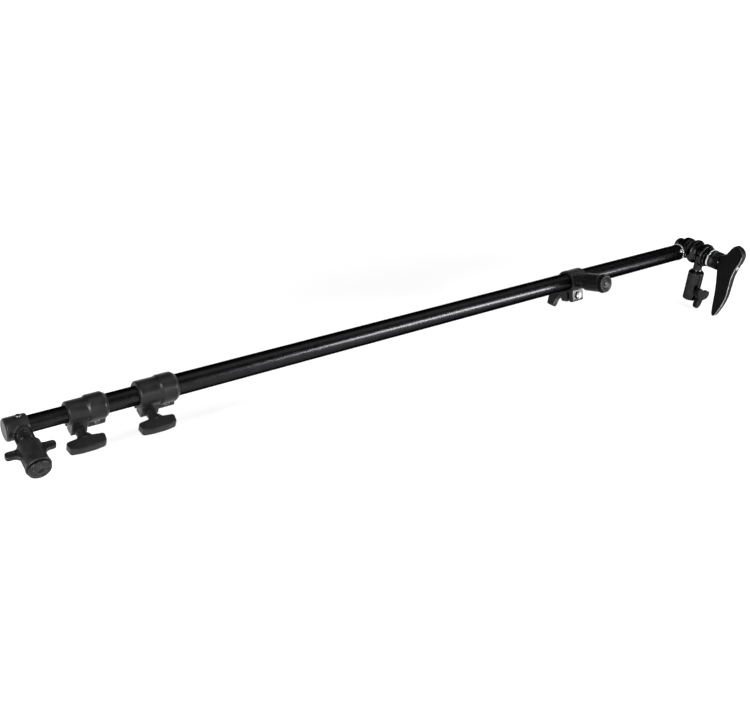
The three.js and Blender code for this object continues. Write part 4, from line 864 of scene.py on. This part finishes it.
def clamp_knob(name: str, place: Matrix, ear: float, body: str) -> None:
    """Makes a T-shaped clamp knob and its bolt.

    Args:
        name: Prefix of the two nodes.
        place: Frame with Z along the bolt and X along the bar.
        ear: Height of the ear's outer face along the bolt.
        body: The body that both ride on.
    """
    foot = ear + 0.5
    bar_low = foot + 12.4
    half = [(6.0, -0.2, 1.0), (19.8, 1.8, 0.9), (21.6, 4.0, 0.9), (20.2, 12.6, 0.9), (18.2, 14.2, 0.9), (8.5, 15.6, 4.0)]
    outline = softened([*half, *[(-x, y, r) for x, y, r in reversed(half)]], 1.0, 4, closed=True)
    bar = moved(upright(plate(outline, -5.0, 5.0, 1.3, 2)), Matrix.Translation((0, 0, bar_low)))
    shank = lathe(softened([(0, foot), (6.2, foot, 0.6), (5.5, foot + 8), (5.9, bar_low + 2), (0, bar_low + 2)], 0.6))
    flare = [(-5.2, -5.0, 2.0), (5.2, -5.0, 2.0), (9.6, 1.6, 2.0), (-9.6, 1.6, 2.0)]
    web = moved(upright(plate(softened(flare, 2.0, 4, closed=True), -4.6, 4.6, 1.2)),
                Matrix.Translation((0, 0, bar_low)))
    knob = moulded([bar, shank, web], [rod(3.3, foot - 2, foot + 18.3)], voxel=0.38, relax=2)
    settle(f"{name}_knob_look", knob, place, MOULDING, body, f"{name}_knob")


def bolt(name: str, place: Matrix, low: float, high: float, body: str) -> None:
    """Makes a threaded clamp bolt about Z between two heights."""
    pitch, rounds = 1.0, int((high - low) / 1.0) - 1
    thread = []
    for k in range(rounds):
        base = low + 0.6 + k * pitch
        thread += [(2.55, base), (3.0, base + 0.5 * pitch)]
    profile = [(0, low), (2.3, low), *thread, (2.6, high - 0.4), (2.6, high), (0, high)]
    settle(f"{name}_bolt_look", lathe(profile, 36), place, ZINC, body, f"{name}_bolt")


def nut(name: str, place: Matrix, low: float, body: str, radius: float = 5.6) -> None:
    """Makes a hexagonal nut with turned-down corners."""
    settle(f"{name}_nut_look", hexagon(radius, low, low + 4.4, 3.3), place, ZINC, body, f"{name}_nut")


@dataclass
class Collar:
    """A split collar that clamps one tube to the next."""

    name: str
    step: float
    clamp_tube: float
    sleeve_tube: float
    clamp_wall: float
    sleeve_wall: float
    clamp_length: float
    sleeve_length: float
    body: str
    knob_body: str
    angle: float = -16.0

    def build(self) -> None:
        """Makes the collar's body, liner, knob, bolt, nut and fixing screw."""
        place = arm_frame(self.step, self.angle)
        liner_bore = self.clamp_tube + GAP
        clamp_bore = liner_bore + 1.2 + GAP
        clamp = clamp_bore + self.clamp_wall
        sleeve_bore = self.sleeve_tube + GAP
        sleeve = sleeve_bore + self.sleeve_wall
        offset = clamp_bore + 3.8
        reach = offset + 7.0
        low, high = -self.clamp_length, self.sleeve_length
        outside = lathe(softened([
            (clamp_bore, low, 0.4), (clamp - 1.6, low, 0.3), (clamp, low + 1.5, 0.3), (clamp, -0.6, 0.3),
            (sleeve, 2.2, 0.3), (sleeve, high - 4.4, 0.6), (sleeve - 3.0, high, 0.5), (sleeve_bore, high, 0.4),
            (sleeve_bore, -0.3, 0.1), (liner_bore, -0.3, 0.1), (liner_bore, -1.6, 0.1), (clamp_bore, -1.6, 0.1)],
            0.6, closed=True), 128, closed=True)
        ear = self.ear(9.0, 14.5, reach, low + 2.2, -1.7)
        fixed = self.ear(7.0, 9.0, reach, 1.7, high - 2.2)
        core = box((-2.5, 0, low + 4), (2.5, reach - 4, -3))
        clear = rod(clamp_bore, low - 2, -1.6, 96)
        clear_two = rod(liner_bore, -3, 1, 96)
        clear_three = rod(sleeve_bore, -0.3, high + 2, 96)
        slit = box((-1.5, 0, low - 3), (1.5, reach + 3, high + 3))
        relief = box((-40, 1.0, -0.8), (40, 40, 0.8))
        bolt_place = axes(Vector((0, offset, (low + 0.5) / 2)), X_AXIS, Z_AXIS)
        fixing_place = axes(Vector((0, offset, (high - 0.5) / 2)), X_AXIS, Z_AXIS)
        bolt_way = moved(rod(3.3, -13, 17), bolt_place)
        pocket = moved(hexagon(5.9, -13.4, -6.7), bolt_place)
        fixing_way = moved(rod(2.3, -4.7, 6.9), fixing_place)
        fixing_seat = moved(rod(4.0, 6.3, 12), fixing_place)
        core.free()
        body = moulded([outside, ear, fixed], [
            clear, clear_two, clear_three, slit, relief, bolt_way, pocket, fixing_way, fixing_seat], 0.4, 1)
        settle(f"{self.name}_body_look", body, place, MOULDING, self.body, f"{self.name}_body")
        liner = ring(liner_bore, liner_bore + 1.2, low + GAP, -1.9, 0.3)
        liner = combined([liner], [], [box((-1, 0, low - 3), (1, 30, 3))])
        settle(f"{self.name}_liner_look", liner, place, LINER, self.body, f"{self.name}_liner")
        bolt_at = place @ bolt_place
        clamp_knob(self.name, bolt_at, 14.5, self.knob_body)
        bolt(self.name, bolt_at, -12.6, 33.0, self.knob_body)
        nut(self.name, bolt_at, -11.4, self.body)
        head = softened([(0, -4.4), (2.0, -4.4), (2.0, 6.6), (3.7, 6.6), (3.7, 8.6, 0.6), (2.6, 9.3, 0.6), (0, 9.3)], 0.1)
        socket = hexagon(1.7, 7.9, 11.0)
        screw = combined([lathe(head, 40)], [], [socket])
        settle(f"{self.name}_fixing_screw_look", screw, place @ fixing_place, ZINC, self.body,
               f"{self.name}_fixing_screw")

    @staticmethod
    def ear(back: float, front: float, reach: float, low: float, high: float) -> Shape:
        """A rounded ear standing off along Y."""
        loop = [(-back, 0, 0.1), (front, 0, 0.1), (front, reach, 3.2), (-back, reach, 3.2)]
        return plate(softened(loop, 1.0, 5, closed=True), low, high, 1.0)


def clip_post(low: float) -> tuple[list[Shape], list[Shape]]:
    """The ribbed post of a spring clip as forms to join and forms to cut, about Z."""
    neck = lathe(softened([(0, low), (10.3, low), (10.3, 23.8), (9.4, 25), (4.4, 25), (4.4, 54), (0, 54)], 0.5))
    cuts = []
    gable = [(-3.5, 15.0), (-3.5, 27.0), (3.5, 27.0), (3.5, 15.0), (0.0, 11.6)]
    for k in range(6):
        pocket = upright(plate(softened(gable, 0.6, 3, closed=True), -14.0, -6.2, 0.0))
        cuts.append(moved(pocket, Matrix.Rotation((k + 0.5) * math.pi / 3 - math.pi / 2, 4, "Z")))
    cuts.append(rod(1.9, 48.5, 56))
    return [neck], cuts


def clip_fittings(prefix: str, place: Matrix, carrier: str, sleeve_body: str, plain: bool = False) -> None:
    """Makes the winged sleeve, end cap and cap screw of a spring clip.

    Args:
        prefix: Prefix of the nodes.
        place: Frame with Z along the post and X along the arm.
        carrier: Body of the post.
        sleeve_body: Body of the sliding sleeve.
        plain: Whether the cap is a smooth dish, and the clip smoother and painted darker as shade.
    """
    tube = lathe(softened([
        (11.3, 27, 0.2), (11.6, 27, 0.2), (12.9, 29.0, 0.4), (13.0, 55.4, 0.8), (13.8, 57.2, 0.7), (13.8, 59.2, 0.7),
        (13.0, 60, 0.5), (11.3, 60, 0.3), (11.3, 54, 0.1), (4.7, 54, 0.1), (4.7, 50, 0.1), (11.3, 50, 0.1)],
        0.4, closed=True), 128, closed=True)
    wing = [(11.6, 27, 0.6), (12.4, 30.0, 2.4), (15.5, 30.8, 2.0), (26.5, 30.8, 4.2), (26.5, 39.8, 4.2),
            (16.5, 39.8, 3.5), (11.5, 45, 3.0), (-11.5, 45, 3.0), (-16.5, 39.8, 3.5), (-26.5, 39.8, 4.2),
            (-26.5, 30.8, 4.2), (-15.5, 30.8, 2.0), (-12.4, 30.0, 2.4), (-11.6, 27, 0.6)]
    wings = upright(plate(softened(wing, 2.0, 6, closed=True), -2.7, 2.7, 1.1, 4))
    ribs = [box((side * 12.2 - 1.4, -1.1, 38), (side * 12.2 + 1.4, 1.1, 57)) for side in (-1, 1)]
    hollows = []
    for side in (-1, 1):
        for face in (-1, 1):
            patch = [(side * 15.8, 33.0), (side * 24.4, 33.0), (side * 24.4, 37.6), (side * 15.8, 37.6)]
            low, high = sorted((face * 2.1, face * 4.0))
            hollows.append(upright(plate(softened(patch, 1.6, 5, closed=True), low, high, 0.0)))
    cuts = [rod(11.3, 24, 50, 96), rod(11.3, 54, 62, 96), rod(4.7, 48, 56), *hollows]
    sleeve = moulded([tube, wings, *ribs], cuts, voxel=0.4, relax=2)
    # The plain clip takes the darker copy of the moulding, a painted shade.
    finish = SMOOTH_SHADED_MOULDING if plain else MOULDING
    settle(f"{prefix}_sleeve_look", sleeve, place, finish, sleeve_body, f"{prefix}_sleeve")

    dished = [(12.5, 63.5, 0.8), (11.4, 64.3, 0.5), (10.0, 64.1, 0.6), (5.4, 62.9, 2.2), (0, 62.6)]
    face = dished if plain else [(12.5, 63.2, 0.9), (10.8, 64.3, 0.9), (0, 64.3)]
    disc = lathe(softened([(0, 54.3), (9.2, 54.3), (9.2, 61.3, 0.4), (12.5, 61.3, 0.5), *face], 0.4))
    cuts = [rod(1.9, 50, 66), lathe([(0, 62.4), (3.1, 62.4), (3.1, 66), (0, 66)], 40)]
    for k in range(0 if plain else 5):
        turn = (k + 0.5) * 2 * math.pi / 5
        cuts.append(moved(rod(2.4, 60, 67, 32), Matrix.Translation((14.0 * math.cos(turn), 14.0 * math.sin(turn), 0))))
        turn = k * 2 * math.pi / 5
        dish = lathe(softened([(0, 63.1), (2.2, 63.4), (3.0, 64.6), (3.0, 67), (0, 67)], 0.5), 32)
        cuts.append(moved(dish, Matrix.Translation((7.6 * math.cos(turn), 7.6 * math.sin(turn), 0))))
    cap = moulded([disc], cuts, voxel=0.3, relax=3)
    settle(f"{prefix}_cap_look", cap, place, finish, carrier, f"{prefix}_cap")
    head = softened([(0, 50.3), (1.6, 50.3), (1.6, 62.7), (2.8, 62.7), (2.8, 63.9, 0.4), (0, 64.2)], 0.1)
    recess = [moved(box((-1.5, -0.35, 63.5), (1.5, 0.35, 65)), Matrix.Rotation(k * math.pi / 2, 4, "Z"))
              for k in range(2)]
    screw = combined([lathe(head, 32)], [], recess)
    settle(f"{prefix}_cap_screw_look", screw, place, MOULDING if plain else DARK_METAL, carrier,
           f"{prefix}_cap_screw")


@dataclass
class EndHub:
    """The hub on the innermost tube, with its ribbed post and spring clip."""

    inner_end: float = -1095.8
    outer_end: float = -1120.5
    post_x: float = -1104.6
    angle: float = -16.0

    def build(self) -> None:
        """Makes the hub, its screw and its spring clip."""
        place = arm_frame(self.post_x, 0.0)
        low, high = self.outer_end - self.post_x, self.inner_end - self.post_x
        cup = lathe(softened([
            (0, low), (11.2, low, 0.3), (12.83, low + 1.5, 0.3), (12.83, high - 0.8, 0.4), (12.2, high, 0.4),
            (9.83, high, 0.2), (9.83, low + 3, 0.2), (0, low + 3)], 0.4), 128)
        to_hub = place.inverted() @ post_frame(self.post_x, self.angle)
        joins, cuts = clip_post(5.0)
        joins = [moved(shape, to_hub) for shape in joins]
        cuts = [moved(shape, to_hub) for shape in cuts]
        bore = rod(9.83, low + 3, high + 2, 96)
        screw_place = post_frame(self.inner_end - 8.6, 90.0)
        way = moved(rod(2.0, 8, 15), place.inverted() @ screw_place)
        body = moulded([cup, *joins], [*cuts, bore, way], voxel=0.42, relax=2)
        settle("end_hub_look", body, place, MOULDING, "inner_stage_body", "end_hub")
        head = softened([(0, 10.2), (1.7, 10.2), (1.7, 13.12), (3.2, 13.12), (2.9, 14.3, 0.8), (0, 14.7)], 0.1)
        recess = [moved(box((-1.6, -0.35, 14.0), (1.6, 0.35, 16)), Matrix.Rotation(k * math.pi / 2, 4, "Z"))
                  for k in range(2)]
        screw = combined([lathe(head, 36)], [], recess)
        settle("hub_screw_look", screw, screw_place, ZINC, "inner_stage_body", "hub_screw")
        clip_fittings("end_clip", post_frame(self.post_x, self.angle), "inner_stage_body", "end_sleeve_body")


@dataclass
class Slider:
    """The spring clip that slides on the main tube."""

    x: float = -275.9
    post_angle: float = 17.0
    bolt_angle: float = 197.0
    knob_turn: float = 122.0

    def build(self) -> None:
        """Makes the liner, the split body with its post, the clamp knob and the spring clip."""
        place = arm_frame(self.x, self.bolt_angle)
        post = post_frame(self.x, self.post_angle)
        shell = ring(14.2, 16.0, -15, 15, 0.9, 128)
        loop = [(-9, 0, 0.1), (14.5, 0, 0.1), (14.5, -31.4, 3.6), (-9, -31.4, 3.6)]
        ears = plate(softened(loop, 1.0, 6, closed=True), -11, 11, 1.0)
        to_body = place.inverted() @ post
        joins, cuts = clip_post(6.4)
        joins = [moved(shape, to_body) for shape in joins]
        cuts = [moved(shape, to_body) for shape in cuts]
        bolt_local = axes(Vector((0, -22.5, 0)), X_AXIS, Z_AXIS)
        bore = rod(14.2, -17, 17, 96)
        slit = box((-2.5, -33, -17), (2.5, 0, 17))
        bolt_way = moved(rod(3.3, -13, 17), bolt_local)
        pocket = moved(hexagon(5.9, -13.4, -6.7), bolt_local)
        body = moulded([shell, ears, *joins], [*cuts, bore, slit, bolt_way, pocket], voxel=0.42, relax=2)
        settle("slider_body_look", body, place, MOULDING, "slider_clip_body", "slider_body", "slider_post",
               "slider_knob_ear", "slider_nut_ear")
        liner = ring(13.0, 13.9, -15, 15, 0.3, 128)
        settle("slider_liner_look", liner, arm_frame(self.x, 0.0), LINER, "slider_liner_body", "slider_liner")
        bolt_at = place @ bolt_local
        turned = bolt_at @ Matrix.Rotation(math.radians(self.knob_turn), 4, "Z")
        clamp_knob("slider", turned, 14.5, "slider_knob_body")
        bolt("slider", bolt_at, -12.6, 33.0, "slider_knob_body")
        nut("slider", bolt_at, -11.4, "slider_clip_body", 4.9)
        clip_fittings("slider_clip", post, "slider_clip_body", "slider_sleeve_body", plain=True)


COLLARS = (
    Collar("large_collar", -949.0, 11.1, 12.7, 3.3, 4.3, 24.9, 22.9, "arm_body", "large_knob_body"),
    Collar("small_collar", -1032.8, 9.525, 11.1, 2.4, 4.0, 21.8, 23.5, "middle_stage_body", "small_knob_body"),
)
KEPT = {
    "middle_glide": LINER, "inner_glide": LINER, "end_clip_spring": STEEL, "slider_clip_spring": STEEL,
}


def dress_kept_nodes() -> None:
    """Gives the CAD nodes that stay in view their node materials."""
    for name, finish in KEPT.items():
        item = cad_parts[name]
        made = material(finish, Coords.OBJECT)
        if item.material_slots:
            for entry in item.material_slots:
                entry.material = made
        else:
            item.data.materials.append(made)
        log.info("node %s keeps its shape", name)


@dataclass(frozen=True)
class Lamp:
    """A soft rectangular lamp aimed at a point."""

    name: str
    place: tuple[float, float, float]
    target: tuple[float, float, float]
    size: Point
    power: float
    length: tuple[float, float, float]

    def build(self) -> None:
        """Adds the lamp to the scene, with its second side along its length."""
        data = bpy.data.lights.new(self.name, "AREA")
        data.shape = "RECTANGLE"
        data.size, data.size_y = self.size
        data.energy = self.power
        item = bpy.data.objects.new(self.name, data)
        back = (Vector(self.place) - Vector(self.target)).normalized()
        side = Vector(self.length).cross(back).normalized()
        turn = Matrix((side, back.cross(side), back)).transposed().to_4x4()
        turn.translation = self.place
        item.matrix_world = turn
        bpy.context.scene.collection.objects.link(item)


LAMPS = (
    Lamp("strip", (0.3, -1.0, 0.33), (-0.45, 0.0, 0.08), (0.15, 1.1), 43.0, (1.27, 0.0, -0.43)),
    Lamp("overhead", (0.2, -0.05, 1.3), (0.0, 0.0, 0.08), (0.9, 2.0), 6.0, (1.0, 0.0, 0.0)),
    Lamp("left", (-1.86, -0.62, 0.48), (-0.95, 0.0, 0.08), (0.45, 0.45), 24.0, (0.0, 0.0, 1.0)),
    Lamp("key", (-1.4, -0.62, 1.05), (-0.8, 0.0, 0.08), (0.3, 0.3), 13.0, (1.0, 0.0, 0.0)),
)


def background_rays(tree: bpy.types.NodeTree) -> bpy.types.NodeSocket:
    """Adds nodes that give 1 for the rays that show the background, and 0 for the rest.

    Args:
        tree: The node tree to add to.

    Returns:
        The socket with the value.
    """
    ray = tree.nodes.new("ShaderNodeLightPath")
    seen = ray.outputs["Is Camera Ray"]
    for kind in ("Is Glossy Ray", "Is Transmission Ray"):
        either = tree.nodes.new("ShaderNodeMath")
        either.operation = "MAXIMUM"
        tree.links.new(seen, either.inputs[0])
        tree.links.new(ray.outputs[kind], either.inputs[1])
        seen = either.outputs["Value"]
    return seen


def floor_material() -> bpy.types.Material:
    """A plain pale material with a little light of its own as background.

    Returns:
        The material, whose own light rises away from the object.
    """
    colour = 0.42
    made = bpy.data.materials.new("floor")
    made.use_nodes = True
    tree = made.node_tree
    shader = tree.nodes["Principled BSDF"]
    shader.inputs["Base Color"].default_value = (colour, colour, colour, 1.0)
    shader.inputs["Roughness"].default_value = 0.9
    shader.inputs["Specular IOR Level"].default_value = 0.0
    shader.inputs["Emission Color"].default_value = (1.0, 1.0, 1.0, 1.0)
    place = tree.nodes.new("ShaderNodeTexCoord")
    middle = tree.nodes.new("ShaderNodeVectorMath")
    middle.operation = "DISTANCE"
    middle.inputs[1].default_value = (-0.55, 0.0, -0.011)
    tree.links.new(place.outputs["Object"], middle.inputs[0])
    rising = tree.nodes.new("ShaderNodeMapRange")
    rising.interpolation_type = "SMOOTHSTEP"
    rising.inputs["From Min"].default_value = 0.3
    rising.inputs["From Max"].default_value = 1.1
    rising.inputs["To Min"].default_value = 0.5
    rising.inputs["To Max"].default_value = 0.92
    tree.links.new(middle.outputs["Value"], rising.inputs["Value"])
    scaled = tree.nodes.new("ShaderNodeMath")
    scaled.operation = "MULTIPLY"
    tree.links.new(rising.outputs["Result"], scaled.inputs[1])
    tree.links.new(background_rays(tree), scaled.inputs[0])
    tree.links.new(scaled.outputs["Value"], shader.inputs["Emission Strength"])
    return made


def studio_world() -> bpy.types.World:
    """A plain ambient light, seen as a white surround under a dark ceiling."""
    world = bpy.data.worlds.new("studio")
    world.use_nodes = True
    tree = world.node_tree
    new, link = tree.nodes.new, tree.links.new
    ambient = tree.nodes["Background"]
    ambient.inputs["Color"].default_value = (1.0, 1.0, 1.0, 1.0)
    ambient.inputs["Strength"].default_value = 0.3
    shown = new("ShaderNodeBackground")
    shown.inputs["Color"].default_value = (1.0, 1.0, 1.0, 1.0)
    direction = new("ShaderNodeTexCoord")
    parts = new("ShaderNodeSeparateXYZ")
    link(direction.outputs["Generated"], parts.inputs["Vector"])
    height = new("ShaderNodeMapRange")
    height.interpolation_type = "SMOOTHSTEP"
    height.inputs["From Min"].default_value = 0.2
    height.inputs["From Max"].default_value = 0.5
    height.inputs["To Min"].default_value = 1.0
    height.inputs["To Max"].default_value = 0.05
    link(parts.outputs["Z"], height.inputs["Value"])
    link(height.outputs["Result"], shown.inputs["Strength"])
    mix = new("ShaderNodeMixShader")
    link(background_rays(tree), mix.inputs[0])
    link(ambient.outputs[0], mix.inputs[1])
    link(shown.outputs[0], mix.inputs[2])
    link(mix.outputs[0], tree.nodes["World Output"].inputs["Surface"])
    return world


def build_stage() -> None:
    """Adds the floor, the world, the lamps and the camera."""
    scene = bpy.context.scene
    scene.view_settings.view_transform = "Standard"
    mesh = bpy.data.meshes.new("floor")
    level = -0.0112
    reach = 40.0
    mesh.from_pydata(
        [(-reach, -reach, level), (reach, -reach, level), (reach, reach, level), (-reach, reach, level)],
        [], [(0, 1, 2, 3)])
    mesh.materials.append(floor_material())
    floor = bpy.data.objects.new("floor", mesh)
    scene.collection.objects.link(floor)
    scene.world = studio_world()
    for lamp in LAMPS:
        lamp.build()

    data = bpy.data.cameras.new("camera")
    data.sensor_width = 36.0
    data.sensor_fit = "HORIZONTAL"
    data.lens = 986.8 / 750.0 * 36.0
    data.shift_x = (375.0 - 340.0) / 750.0
    data.shift_y = (325.0 - 354.0) / 750.0
    data.clip_start, data.clip_end = 0.05, 100.0
    camera = bpy.data.objects.new("camera", data)
    right = Vector((0.82104, -0.56706, 0.06581))
    up = Vector((0.20846, 0.40513, 0.89018))
    matrix = Matrix((right, up, right.cross(up))).transposed().to_4x4()
    matrix.translation = (-1.354, -0.8617, 0.6588)
    camera.matrix_world = matrix
    scene.collection.objects.link(camera)
    scene.camera = camera


def main() -> None:
    """Builds the whole look."""
    logging.basicConfig(level=logging.INFO, format="%(message)s")
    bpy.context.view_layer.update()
    Tubes().build()
    Head().build()
    Lever().build()
    for collar in COLLARS:
        collar.build()
    EndHub().build()
    Slider().build()
    dress_kept_nodes()
    build_stage()
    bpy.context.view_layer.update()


if __name__ == "__main__":
    main()
